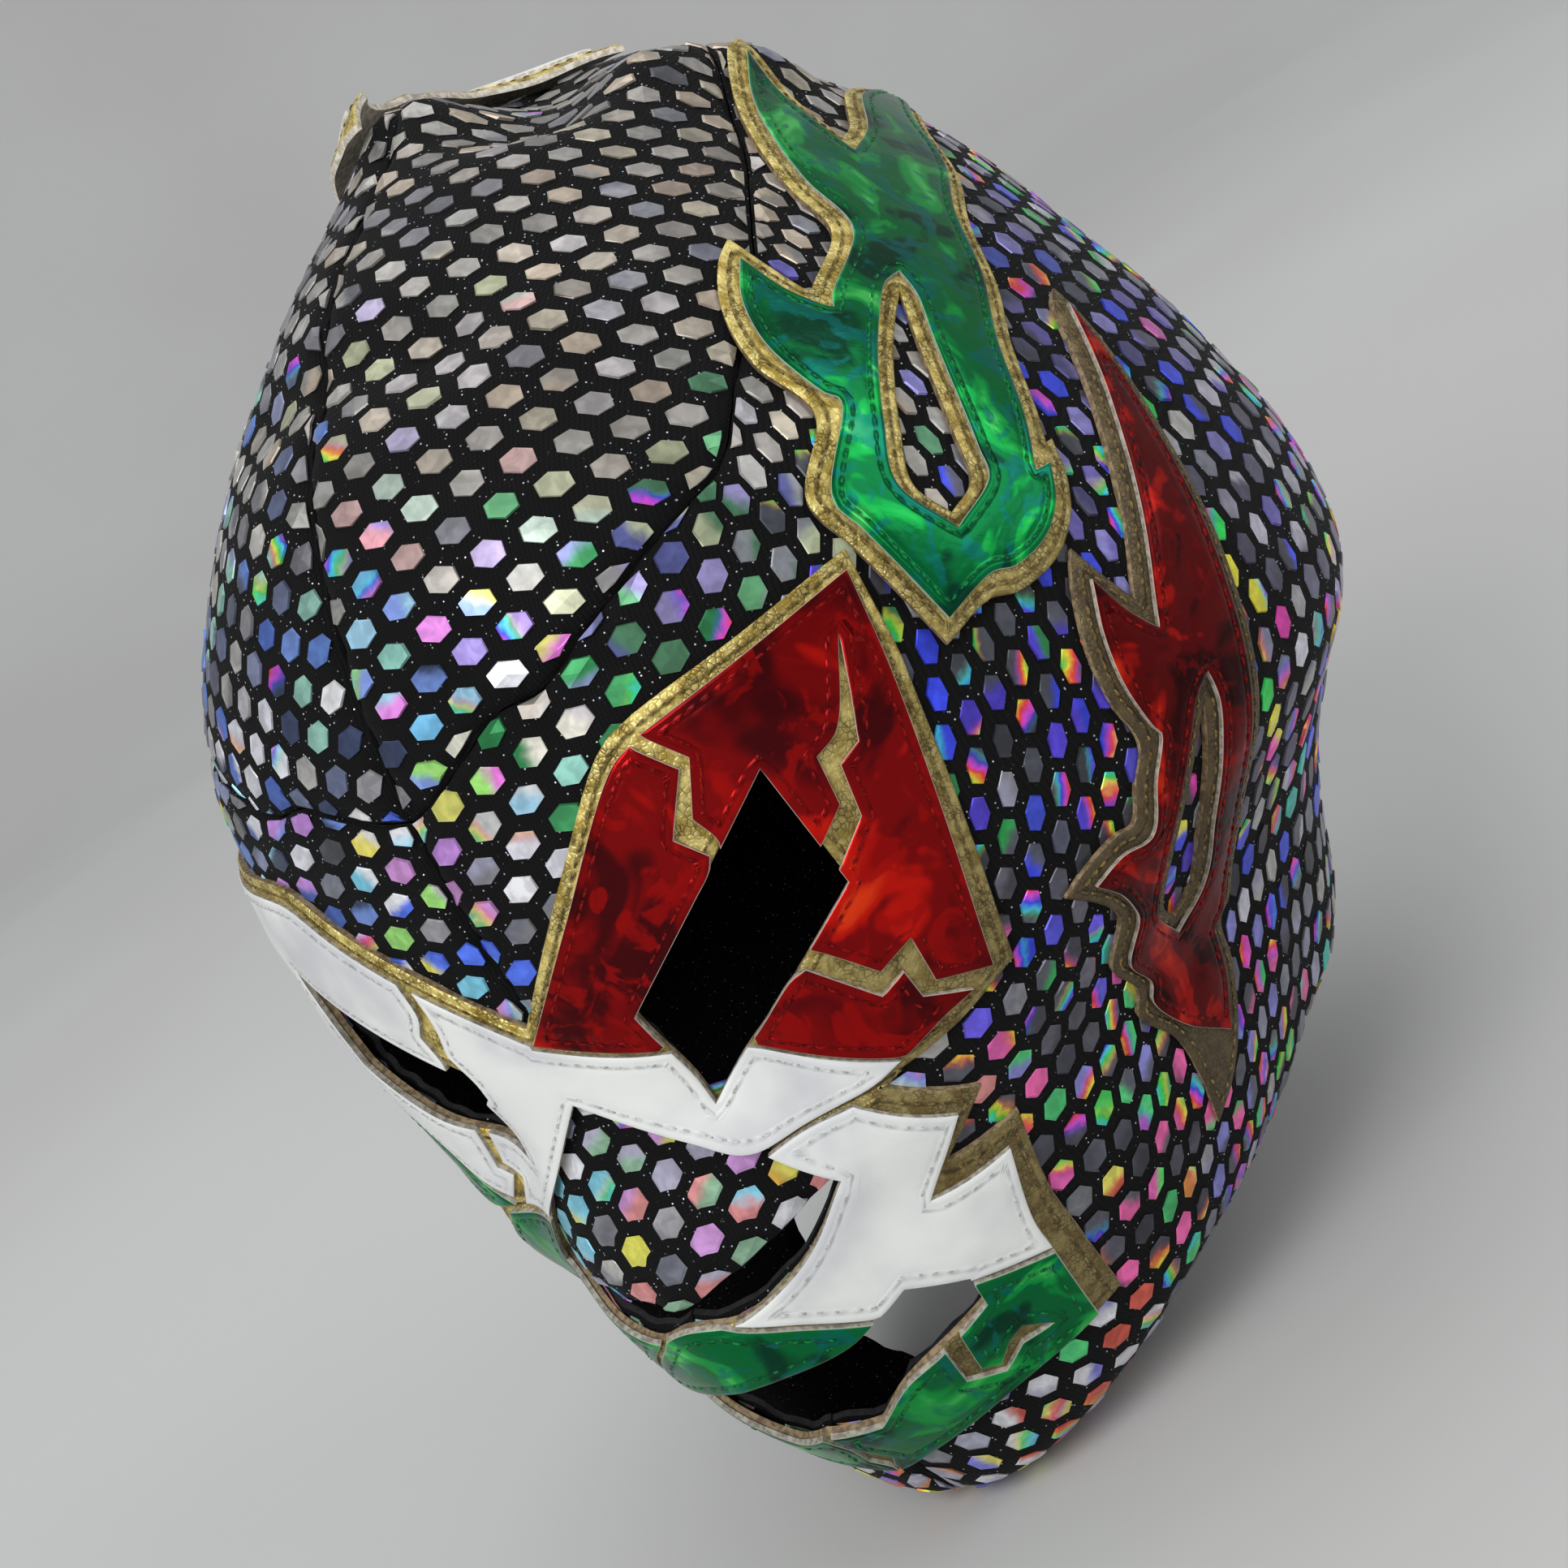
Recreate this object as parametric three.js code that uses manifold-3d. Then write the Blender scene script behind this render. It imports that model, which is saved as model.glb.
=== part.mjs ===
// Luchador mask of printed knit, metallic leather, foil film and vinyl, in millimetres.
// The wearer looks along -Y, the wearer's left is +X and up is +Z. The origin is the crown seat,
// where the inside of the mask sits on top of a head.
//
// Every piece is a part of a thin layer that follows one form. The form is a radius in each
// direction from the centre of the head, so a piece is its layer cut by a cone of directions.
// A direction is an azimuth, 0 at the face and positive to the wearer's left, and an elevation,
// both in degrees.
import * as THREE from 'three';
import { mergeVertices } from 'three/addons/utils/BufferGeometryUtils.js';
import Module from 'manifold-3d';

const wasm = await Module();
wasm.setup();

// Inside of the mask, measured from the centre of the head
const FACE_DEPTH = 95;
const HALF_WIDTH = 89.5;
const BACK_DEPTH = 96.5;
const CROWN_HEIGHT = 115.5;
const CHIN_DROP = 105.5;

// Walls of each layer and the clearances between pieces
const KNIT_WALL = 1.3;
const LEATHER_WALL = 1.0;
const FOIL_WALL = 0.9;
const LAYER_GAP = 0.4;
const SEAM_GAP = 0.4;

// Openings and laps
const KNIT_SETBACK = 1.2;
const FOIL_OVERHANG = 0.3;

// Appliques on the sides of the head
const GREEN_SCROLL_LENGTH = 146;
const RED_SCROLL_LENGTH = 132;
const WHITE_SCROLL_LENGTH = 120;
const SCROLL_BORDER = 3.2;
const PIERCING_BORDER = 2.4;
const SCROLL_LIFT = 3.5;
const HORN_TAPER = 1.6;

// Back closure
const SLIT_WIDTH = 12;
const TONGUE_WIDTH = 44;
const TONGUE_WALL = 1.2;
const LACE_WIDTH = 4;
const LACE_WALL = 1.6;
const LACE_REACH = 11;
const LACE_CROSSINGS = 5;

// Elevations behind, and how far the lace and the tongue stop short of the slit and the hem
const SLIT_TOP = 24;
const BACK_HEM = -44;
const LACE_TOP_MARGIN = 3;
const LACE_HEM_MARGIN = 7;
const TONGUE_HEM_MARGIN = 4;

// Fineness of the facets
const GRID_COLUMNS = 30;
const GRID_ROWS = 17;
const GRID_BOTTOM = -75;
const EDGE_STEP = 20;
const MITER_LIMIT = 2.5;
const HORN_STEPS = 4;
const HORN_ROOT_STEPS = 2;

// Reach of the solids that cut: cones start inside the mask and end well outside it
const CONE_NEAR = CROWN_HEIGHT / 6;
const CONE_FAR = CROWN_HEIGHT * 8;
const HALF_SPACE_SIZE = CROWN_HEIGHT * 4;

const toRadians = THREE.MathUtils.degToRad;
const toDegrees = THREE.MathUtils.radToDeg;

// Rows of a table as objects, so that each value is read by the name of its column.
const named = (columns, row) => Object.fromEntries(columns.map((column, i) => [column, row[i]]));
const table = (columns, rows) => rows.map((row) => named(columns, row));

// Shares of a plain ellipsoid of the sizes above, at each elevation. Squareness is 2 for an
// ellipse, less for a face that comes to a ridge and more for a broad forehead.
const FORM = table(
  ['elevation', 'front', 'side', 'back', 'squareness'],
  [
    [-75, 1.06, 0.97, 1.12, 1.9],
    [-62, 1.17, 1.0, 1.06, 1.9],
    [-54, 1.27, 0.98, 0.98, 1.9],
    [-46, 1.22, 0.94, 0.92, 1.85],
    [-38, 1.21, 0.9, 0.89, 1.72],
    [-30, 1.2, 0.9, 0.91, 1.6],
    [-22, 1.15, 0.94, 0.94, 1.64],
    [-12, 1.03, 1.01, 0.98, 1.76],
    [0, 1.0, 1.0, 1.0, 1.94],
    [15, 1.01, 0.95, 1.04, 2.12],
    [30, 1.02, 0.9, 1.06, 2.3],
    [45, 1.01, 0.89, 1.07, 2.1],
    [60, 0.98, 0.91, 1.05, 1.96],
    [75, 0.96, 0.96, 1.02, 2.0],
    [90, 1.0, 1.0, 1.0, 2.0],
  ],
);

// Folds of the knit along great circles: half width and height as shares of the crown height,
// positive for a ridge and negative for a crease.
const FOLDS = table(
  ['fromAzimuth', 'fromElevation', 'toAzimuth', 'toElevation', 'halfWidth', 'height'],
  [
    [104, 70, 125, 62, 0.08, 0.034],
    [-28, 87, 30, 88, 0.055, 0.026],
    [76, 79, 160, 78, 0.11, -0.072],
    [-42, 68, -32, 79, 0.1, -0.012],
    [-14, 57, 20, 54, 0.07, -0.02],
    [128, 8, 150, -26, 0.1, -0.018],
    [-128, 8, -150, -26, 0.1, -0.018],
    [14, -10, 18, -26, 0.085, -0.028],
    [-14, -10, -18, -26, 0.085, -0.028],
  ],
);

const formCurve = new THREE.CubicInterpolant(
  FORM.map((row) => row.elevation),
  FORM.flatMap((row) => [row.front, row.side, row.back, row.squareness]),
  4,
);

function direction(azimuth, elevation) {
  const a = toRadians(azimuth);
  const e = toRadians(elevation);
  return new THREE.Vector3(Math.cos(e) * Math.sin(a), -Math.cos(e) * Math.cos(a), Math.sin(e));
}

const angleBetween = (a, b) => Math.acos(THREE.MathUtils.clamp(a.dot(b), -1, 1));

// Height of the folds at a direction
function foldHeight(towards) {
  return FOLDS.reduce((height, fold) => {
    const from = direction(fold.fromAzimuth, fold.fromElevation);
    const to = direction(fold.toAzimuth, fold.toElevation);
    const nearest = from.clone();
    const run = to.clone().sub(from);
    const along = towards.clone().sub(from).dot(run) / run.lengthSq();
    nearest.addScaledVector(run, THREE.MathUtils.clamp(along, 0, 1)).normalize();
    const away = angleBetween(nearest, towards) / fold.halfWidth;
    return height + fold.height * CROWN_HEIGHT * Math.exp(-away * away);
  }, 0);
}

// Radius of the inside of the mask in a direction
function formRadius(azimuth, elevation) {
  const [front, side, back, squareness] = formCurve.evaluate(elevation);
  const e = toRadians(elevation);
  const height = elevation > 0 ? CROWN_HEIGHT : CHIN_DROP;
  const plain = (depth) => 1 / Math.hypot(Math.cos(e) / depth, Math.sin(e) / height);
  const a = toRadians(azimuth);
  const ahead = Math.cos(a);
  const facing = ahead >= 0;
  const depth = facing ? front * plain(FACE_DEPTH) : back * plain(BACK_DEPTH);
  const power = facing ? squareness : 2;
  const width = side * plain(HALF_WIDTH);
  const ring = (Math.abs(ahead / depth) ** power + Math.abs(Math.sin(a) / width) ** power) ** (-1 / power);
  return ring + foldHeight(direction(azimuth, elevation));
}

// Degrees that a length covers on the form at a direction
const span = (length, azimuth, elevation) => toDegrees(length / formRadius(azimuth, elevation));

// Direction at a place on the flat cloth, across and up from an anchor direction. Its azimuth is
// within half a turn of the anchor's, so that an outline that goes round the back has no jump.
function onForm(anchor, across, up) {
  const [azimuth, elevation] = anchor;
  const outward = direction(azimuth, elevation);
  const east = direction(azimuth + 90, 0);
  const north = outward.clone().cross(east);
  const reach = Math.hypot(across, up);
  const bearing = east.multiplyScalar(across / reach).add(north.multiplyScalar(up / reach));
  const turn = reach / formRadius(azimuth, elevation);
  const point = outward.multiplyScalar(Math.cos(turn)).addScaledVector(bearing, Math.sin(turn));
  const round = toDegrees(Math.atan2(point.x, -point.y)) - azimuth;
  const away = THREE.MathUtils.euclideanModulo(round + 180, 360) - 180;
  return [azimuth + away, toDegrees(Math.asin(point.z))];
}

// Booleans
function solidOf(geometry) {
  const bare = geometry.clone();
  bare.deleteAttribute('normal');
  bare.deleteAttribute('uv');
  const merged = mergeVertices(bare);
  return new wasm.Manifold(new wasm.Mesh({
    numProp: 3,
    vertProperties: new Float32Array(merged.attributes.position.array),
    triVerts: new Uint32Array(merged.index.array),
  }));
}

function geometryOf(solid) {
  const { vertProperties, triVerts } = solid.getMesh();
  const geometry = new THREE.BufferGeometry();
  geometry.setAttribute('position', new THREE.BufferAttribute(vertProperties, 3));
  geometry.setIndex(new THREE.BufferAttribute(triVerts, 1));
  return geometry;
}

function indexed(points, faces) {
  const geometry = new THREE.BufferGeometry().setFromPoints(points);
  geometry.setIndex(faces.flat());
  return geometry;
}

const union = (solids) => solids.reduce((whole, solid) => whole.add(solid));
const cut = (solid, ...others) => others.reduce((rest, other) => rest.subtract(other), solid);

// A closed shell between two offsets from the form, open below. Lift adds to both.
function layer(inner, outer, lift = () => 0) {
  const points = [];
  const faces = [];
  const skins = [inner, outer].map((offset) => {
    const first = points.length;
    for (let row = 0; row < GRID_ROWS; row += 1) {
      for (let column = 0; column < GRID_COLUMNS; column += 1) {
        const azimuth = (column * 360) / GRID_COLUMNS - 180;
        const elevation = THREE.MathUtils.lerp(GRID_BOTTOM, 90, row / GRID_ROWS);
        const towards = direction(azimuth, elevation);
        const radius = formRadius(azimuth, elevation) + offset + lift(towards);
        points.push(towards.multiplyScalar(radius));
      }
    }
    const top = direction(0, 90);
    points.push(top.clone().multiplyScalar(CROWN_HEIGHT + foldHeight(top) + offset + lift(top)));
    return { first, pole: points.length - 1 };
  });
  for (const [which, skin] of skins.entries()) {
    const turn = (a, b, c) => (which === 1 ? [a, b, c] : [a, c, b]);
    for (let row = 0; row < GRID_ROWS; row += 1) {
      for (let column = 0; column < GRID_COLUMNS; column += 1) {
        const here = skin.first + row * GRID_COLUMNS + column;
        const next = skin.first + row * GRID_COLUMNS + ((column + 1) % GRID_COLUMNS);
        if (row === GRID_ROWS - 1) {
          faces.push(turn(here, next, skin.pole));
        } else {
          const above = next + GRID_COLUMNS;
          faces.push(turn(here, next, above), turn(here, above, here + GRID_COLUMNS));
        }
      }
    }
  }
  for (let column = 0; column < GRID_COLUMNS; column += 1) {
    const here = skins[0].first + column;
    const next = skins[0].first + ((column + 1) % GRID_COLUMNS);
    const out = skins[1].first - skins[0].first;
    faces.push([here, next, next + out], [here, next + out, here + out]);
  }
  return solidOf(indexed(points, faces));
}

// An outline whose long edges have more points, so that they keep to straight lines of direction
function divided(outline) {
  return outline.flatMap(([azimuth, elevation], i) => {
    const [nextAzimuth, nextElevation] = outline[(i + 1) % outline.length];
    const parts = Math.ceil(Math.hypot(nextAzimuth - azimuth, nextElevation - elevation) / EDGE_STEP);
    return Array.from({ length: parts }, (_, part) => new THREE.Vector2(
      THREE.MathUtils.lerp(azimuth, nextAzimuth, part / parts),
      THREE.MathUtils.lerp(elevation, nextElevation, part / parts),
    ));
  });
}

// The directions inside an outline, as a solid from near the centre to well outside the mask
function cone(outline) {
  const flat = divided(outline);
  if (THREE.ShapeUtils.isClockWise(flat)) {
    flat.reverse();
  }
  const points = [CONE_NEAR, CONE_FAR]
    .flatMap((reach) => flat.map(({ x, y }) => direction(x, y).multiplyScalar(reach)));
  const count = flat.length;
  const faces = THREE.ShapeUtils.triangulateShape(flat, [])
    .flatMap(([a, b, c]) => [[a + count, b + count, c + count], [a, c, b]]);
  for (let i = 0; i < count; i += 1) {
    const next = (i + 1) % count;
    faces.push([i, next, next + count], [i, next + count, i + count]);
  }
  return solidOf(indexed(points, faces));
}

// The same for a ring of directions all round the head, closed at the top or at the bottom
function capCone(ring, pole) {
  const count = ring.length;
  const points = [CONE_NEAR, CONE_FAR].flatMap((reach) => [
    ...ring.map(([azimuth, elevation]) => direction(azimuth, elevation).multiplyScalar(reach)),
    direction(0, pole).multiplyScalar(reach),
  ]);
  const faces = [];
  for (let i = 0; i < count; i += 1) {
    const next = (i + 1) % count;
    const out = count + 1;
    faces.push([i + out, next + out, count + out], [i, count, next]);
    faces.push([i, next, next + out], [i, next + out, i + out]);
  }
  return solidOf(indexed(points, pole > 0 ? faces : faces.map(([a, b, c]) => [a, c, b])));
}

// The half of space on one side of the middle plane, set back by half a seam
function halfSpace(side) {
  const box = new THREE.BoxGeometry(HALF_SPACE_SIZE, HALF_SPACE_SIZE, HALF_SPACE_SIZE);
  return solidOf(box.translate((side * (HALF_SPACE_SIZE + SEAM_GAP)) / 2, 0, 0));
}

// Outlines
const mirror = (outline) => outline.map(([azimuth, elevation]) => [-azimuth, elevation]);
const bothSides = (half) => [...half, ...mirror(half.filter(([azimuth]) => azimuth > 0)).reverse()];

// An outline moved outwards by a length, or inwards where it is negative
function grow(outline, length) {
  const flat = outline.map(([azimuth, elevation]) => new THREE.Vector2(azimuth, elevation));
  const sign = THREE.ShapeUtils.isClockWise(flat) ? -1 : 1;
  return outline.map(([azimuth, elevation], i) => {
    const squeeze = Math.cos(toRadians(elevation));
    const here = new THREE.Vector2(azimuth * squeeze, elevation);
    const side = (other) => new THREE.Vector2(other[0] * squeeze, other[1]).sub(here).normalize();
    const back = side(outline[(i + outline.length - 1) % outline.length]).negate();
    const ahead = side(outline[(i + 1) % outline.length]);
    const normals = [back, ahead].map((edge) => new THREE.Vector2(edge.y, -edge.x).multiplyScalar(sign));
    const bisector = normals[0].clone().add(normals[1]).normalize();
    const miter = 1 / Math.max(bisector.dot(normals[1]), 1 / MITER_LIMIT);
    const moved = here.addScaledVector(bisector, miter * span(length, azimuth, elevation));
    return [moved.x / squeeze, moved.y];
  });
}

// A band of one width along a line of directions
function ribbon(line, width) {
  const edge = (sign) => line.map(([azimuth, elevation], i) => {
    const squeeze = Math.cos(toRadians(elevation));
    const before = line[Math.max(i - 1, 0)];
    const after = line[Math.min(i + 1, line.length - 1)];
    const runs = [[before, line[i]], [line[i], after]]
      .map(([a, b]) => new THREE.Vector2((b[0] - a[0]) * squeeze, b[1] - a[1]))
      .filter((run) => run.length() > 0)
      .map((run) => run.normalize());
    const normals = runs.map((run) => new THREE.Vector2(run.y, -run.x));
    const bisector = normals.reduce((sum, normal) => sum.clone().add(normal)).normalize();
    const miter = 1 / Math.max(bisector.dot(normals[0]), 1 / MITER_LIMIT);
    const half = sign * miter * span(width / 2, azimuth, elevation);
    return [azimuth + (half * bisector.x) / squeeze, elevation + half * bisector.y];
  });
  return [...edge(1), ...edge(-1).reverse()];
}

// Left half of the surround, from the bridge of the nose round the eye and cheek to the chin.
// Backing is the outer edge of the metallic leather and skin is the edge of what covers it.
const SURROUND = table(
  ['backingAzimuth', 'backingElevation', 'skinAzimuth', 'skinElevation'],
  [
    [0, 0.5, 0, -1],
    [14, 13, 10.5, 8],
    [20, 18, 20.5, 16.5],
    [23, 19, 23.5, 17.5],
    [46, 21.5, 45, 20],
    [45, 13, 43.5, 12],
    [39.5, -15.5, 37.5, -15],
    [33, -17, 32, -15.5],
    [24, -17.5, 21, -17.2],
    [31, -23.3, 28, -23.5],
    [24.5, -27, 21.5, -28.6],
    [32.3, -28.7, 29.8, -30.2],
    [30.6, -37, 27.7, -36.5],
    [30.8, -47.7, 27.2, -47.2],
    [17, -46.6, 16, -46.1],
    [6, -46.8, 6, -46.3],
    [0, -47.6, 0, -47.1],
  ],
);
const BACKING = bothSides(SURROUND.map((row) => [row.backingAzimuth, row.backingElevation]));
const SKIN = bothSides(SURROUND.map((row) => [row.skinAzimuth, row.skinElevation]));

const LEFT_EYE = [[30.5, 11], [31.5, -1], [11, -12.5], [10, -2]];
const MOUTH = bothSides([
  [0, -30.2], [3.4, -30.6], [9.6, -32.1], [15.6, -31.9], [20.4, -35.5], [20, -38.5], [9.8, -38.8],
  [5, -40.8], [0, -39.2],
]);

// The nose panel shows inside these edges, and its lower edge is free above the nostrils.
const NOSE_SIDES = [[0, -6.7], [7, -12.5], [12.5, -16.5], [17, -22.3]];
const NOSE_FREE_EDGE = [[12.8, -22.6], [7.5, -23], [3.5, -23.2], [0, -24]];
const NOSTRIL_EDGE = [[12.6, -24.5], [8, -25.3], [4.5, -25.5], [0, -24.4]];
const NOSE_OPENING = bothSides([...NOSE_SIDES, ...NOSTRIL_EDGE]);
const NOSE_PANEL = bothSides([[0, -5.4], [8.2, -11.8], [14, -15.8], [19, -22.4], ...NOSE_FREE_EDGE]);
const UNDER_NOSE = bothSides([[0, -21], [14, -21], [17.3, -22.4], ...NOSTRIL_EDGE]);

// Seam between the crown panels and the side panels
const CROWN_SEAM = [
  [0, 20], [4, 21], [13, 24.5], [18, 24.5], [29, 28.5], [41, 32.5], [59, 46], [83, 59], [116, 66],
  [150, 67], [180, 66],
];
const HEM = [[0, -64.5], [40, -60.5], [80, -53.5], [120, BACK_HEM - 1.5], [180, BACK_HEM]];
const SURROUND_SEAM = -17;
const SURROUND_REACH = 60;

// Lightning cracks and colour lines, as the outline of each covering piece. Points past the
// skin's edge or inside an opening only close the outline.
const RED_STRIP = [
  [0.1, -0.9], [10, -5.8], [15, -4], [23.3, 6.8], [21.5, 9.3], [25, 13.8], [22.6, 17], [21.5, 20],
  [0.1, 8],
];
const RED_BROW = [
  [22.8, 20], [23.8, 17.3], [26.1, 14.2], [23.7, 10], [24.5, 7.6], [22, 0], [26.3, -4.8], [29.4, -9.1],
  [33, -8], [32.8, -12.5], [38.5, -14.9], [50, -14], [52, 26], [22.8, 25],
];
const BROW_CRACK = [
  [29, 1.5], [34.1, 4.9], [34.6, 9.1], [37, 10], [41.4, 16.2], [39.8, 12.4], [38, 8.4], [35.8, 7.6],
  [35, 3.2], [30, -0.5],
];
const RED_LOW = [
  [24.5, -5.4], [28.4, -11], [31, -10.2], [31.2, -13], [35, -15.1], [36, -18], [27, -16.2], [17, -9.6],
  [18, -6],
];
const WHITE_BRIDGE = [
  [-0.2, -1.2], [10, -6.2], [17, -10], [27, -16.6], [27, -16.7], [-17.5, -16.7], [-15.6, -14.2],
  [-17.4, -12.6], [-16, -8], [-12, -6], [-9.4, -4.6], [-9.2, -2.8], [-10.3, 0.4], [-9.3, 3.3],
  [-9, 12], [-0.2, 8],
];
const WHITE_BROW = [
  [-10.3, 12], [-10.6, 4.6], [-12.2, 2.7], [-11.7, -0.2], [-13, -4], [-17.5, -8], [-18.6, -12.9],
  [-17, -14], [-18.9, -16], [-21.7, -14.6], [-33, -7.5], [-48, 2], [-52, 26], [-10.3, 25],
];
const GREEN_LOW = [[-19.3, -16.7], [-21.7, -15.1], [-33, -8], [-48, 1.5], [-48, -16.7]];
const CHEEK = [
  [10, -17.3], [26, -17.3], [36, -20], [36, -43], [20.4, -35.9], [17, -34], [12.4, -32], [7.8, -27.9],
  [4, -25.3], [6, -22],
];
const GREEN_LIP = bothSides([[0, -22], [3.6, -25.5], [7.5, -28.2], [12, -32.2], [9, -35], [0, -35]]);
const JAW = [
  [20.4, -36.3], [36, -43.6], [36, -56], [0.8, -56], [0.2, -46.5], [1.4, -45], [0.2, -42], [0.8, -36],
];
const JAW_CRACK = [
  [14.7, -37], [16.6, -37], [15.4, -42.3], [17, -43.4], [19, -42.4], [20.8, -42.2], [23.3, -44.4],
  [19.8, -43.4], [16.9, -44.2], [13.7, -42.2],
];

// Flame scrolls: each tongue is a horn from a round root to a tip, along and across the scroll
// as shares of its length. Sweep bows the horn to one side and width is its width at the root.
const HORN_COLUMNS = ['rootAlong', 'rootAcross', 'tipAlong', 'tipAcross', 'sweep', 'width'];
const GREEN_HORNS = table(HORN_COLUMNS, [
  [0.12, 0.09, 1.0, 0.03, 0.1, 0.2],
  [0.11, 0.07, 0.2, -0.02, -0.04, 0.1],
  [0.26, 0.14, 0.36, 0.29, 0.06, 0.13],
  [0.5, 0.13, 0.74, 0.27, 0.05, 0.13],
]);
const GREEN_PIERCINGS = table(HORN_COLUMNS, [[0.15, 0.09, 0.38, 0.13, 0.02, 0.06]]);
const RED_HORNS = table(HORN_COLUMNS, [
  [0.17, 0.1, 1.0, 0.1, 0.13, 0.19],
  [0.15, 0.1, 0.0, 0.0, 0.05, 0.13],
  [0.24, 0.15, 0.24, 0.29, -0.04, 0.13],
  [0.46, 0.17, 0.58, 0.32, 0.05, 0.13],
]);
const RED_PIERCINGS = table(HORN_COLUMNS, [[0.22, 0.12, 0.46, 0.16, 0.02, 0.06]]);
const WHITE_HORNS = table(HORN_COLUMNS, [
  [0.22, -0.2, -0.46, -0.3, -0.08, 0.24],
  [0.21, -0.2, 0.36, 0.055, 0.03, 0.2],
  [0.21, -0.2, 0.41, -0.31, -0.02, 0.2],
]);

// Where each scroll lies: the direction of the start of its spine and how far the spine leans.
// Front is the side that its tongues reach towards, 1 or -1.
const SCROLL_PLACES = table(
  ['name', 'azimuth', 'elevation', 'lean', 'front'],
  [
    ['green_scroll', 53.5, 6, 45, 1],
    ['red_scroll', 54.5, -44.5, 50, 1],
    ['white_scroll', -95, 62, 90, -1],
  ],
);

// Outline of one horn on the flat cloth, with extra cloth all round. Without it both sides end in
// the one point of the tip, which is kept once.
function hornOutline(horn, length, extra) {
  const root = new THREE.Vector2(horn.rootAlong, horn.rootAcross).multiplyScalar(length);
  const tip = new THREE.Vector2(horn.tipAlong, horn.tipAcross).multiplyScalar(length);
  const run = tip.clone().sub(root);
  const bow = new THREE.Vector2(-run.y, run.x).setLength(horn.sweep * length);
  const belly = root.clone().lerp(tip, 0.5).add(bow);
  const centreline = new THREE.QuadraticBezierCurve(root, belly, tip);
  const half = (horn.width * length) / 2;
  const sides = [[], []];
  for (let i = 0; i <= HORN_STEPS; i += 1) {
    const along = i / HORN_STEPS;
    const point = centreline.getPoint(along);
    const tangent = centreline.getTangent(along);
    const width = half * (1 - along ** HORN_TAPER) + extra;
    sides[0].push([point.x + tangent.y * width, point.y - tangent.x * width]);
    sides[1].unshift([point.x - tangent.y * width, point.y + tangent.x * width]);
  }
  const tipPoints = [];
  if (extra > 0) {
    tip.addScaledVector(centreline.getTangent(1), extra * HORN_TAPER);
    tipPoints.push([tip.x, tip.y]);
  } else {
    sides[1].shift();
  }
  const start = centreline.getTangent(0);
  const cap = [];
  for (let i = 1; i < HORN_ROOT_STEPS; i += 1) {
    const turn = Math.PI * (0.5 + i / HORN_ROOT_STEPS);
    const reach = half + extra;
    const ahead = Math.cos(turn) * reach;
    const aside = Math.sin(turn) * reach;
    cap.push([root.x + start.x * ahead - start.y * aside, root.y + start.y * ahead + start.x * aside]);
  }
  return [...sides[0], ...tipPoints, ...sides[1], ...cap];
}

// The horns of a scroll as cones, laid on the form
function hornCones(horns, length, place, extra) {
  const lean = toRadians(place.lean);
  const laid = ([along, aside]) => {
    const across = along * Math.cos(lean) - place.front * aside * Math.sin(lean);
    const up = along * Math.sin(lean) + place.front * aside * Math.cos(lean);
    return onForm([place.azimuth, place.elevation], across, up);
  };
  return union(horns.map((horn) => cone(hornOutline(horn, length, extra).map(laid))));
}

// Layers from the inside out
const leatherInner = KNIT_WALL + LAYER_GAP;
const leatherOuter = leatherInner + LEATHER_WALL;
const foilInner = leatherOuter + LAYER_GAP;
const foilOuter = foilInner + FOIL_WALL;

const knit = layer(0, KNIT_WALL);
const leather = layer(leatherInner, leatherOuter);
const foil = layer(foilInner, foilOuter);

// The white scroll stands off the crown along its upper edge.
const LIFT_AZIMUTH = -60;
const LIFT_ELEVATION = 86;
const LIFT_SPREAD = 22;
const liftCentre = direction(LIFT_AZIMUTH, LIFT_ELEVATION);
function scrollLift(towards) {
  const away = angleBetween(liftCentre, towards) / toRadians(LIFT_SPREAD);
  return SCROLL_LIFT * Math.exp(-away * away);
}
const liftedLeather = layer(leatherInner, leatherOuter, scrollLift);
const liftedFoil = layer(foilInner, foilOuter, scrollLift);

const pieces = new THREE.Group();

function addPiece(name, solid, material) {
  const mesh = new THREE.Mesh(geometryOf(solid), material);
  mesh.name = name;
  pieces.add(mesh);
}

// Materials
const knitMaterial = new THREE.MeshStandardMaterial({ color: 0x4a4a58, roughness: 0.5, metalness: 0.4 });
const goldMaterial = new THREE.MeshStandardMaterial({ color: 0xa8874a, roughness: 0.4, metalness: 0.8 });
const redMaterial = new THREE.MeshStandardMaterial({ color: 0xb01014, roughness: 0.2, metalness: 0.8 });
const whiteMaterial = new THREE.MeshStandardMaterial({ color: 0xe9eceb, roughness: 0.35, metalness: 0 });
const greenMaterial = new THREE.MeshStandardMaterial({ color: 0x0b7a38, roughness: 0.2, metalness: 0.8 });
const laceMaterial = new THREE.MeshStandardMaterial({ color: 0x1b1b1f, roughness: 0.8, metalness: 0 });

// Openings
const eyes = [LEFT_EYE, mirror(LEFT_EYE)];
const eyeCones = eyes.map((eye) => cone(eye));
const knitEyeCones = eyes.map((eye) => cone(grow(eye, KNIT_SETBACK)));
const mouthCone = cone(MOUTH);
const knitMouthCone = cone(grow(MOUTH, KNIT_SETBACK));
const noseCone = cone(NOSE_OPENING);

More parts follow.
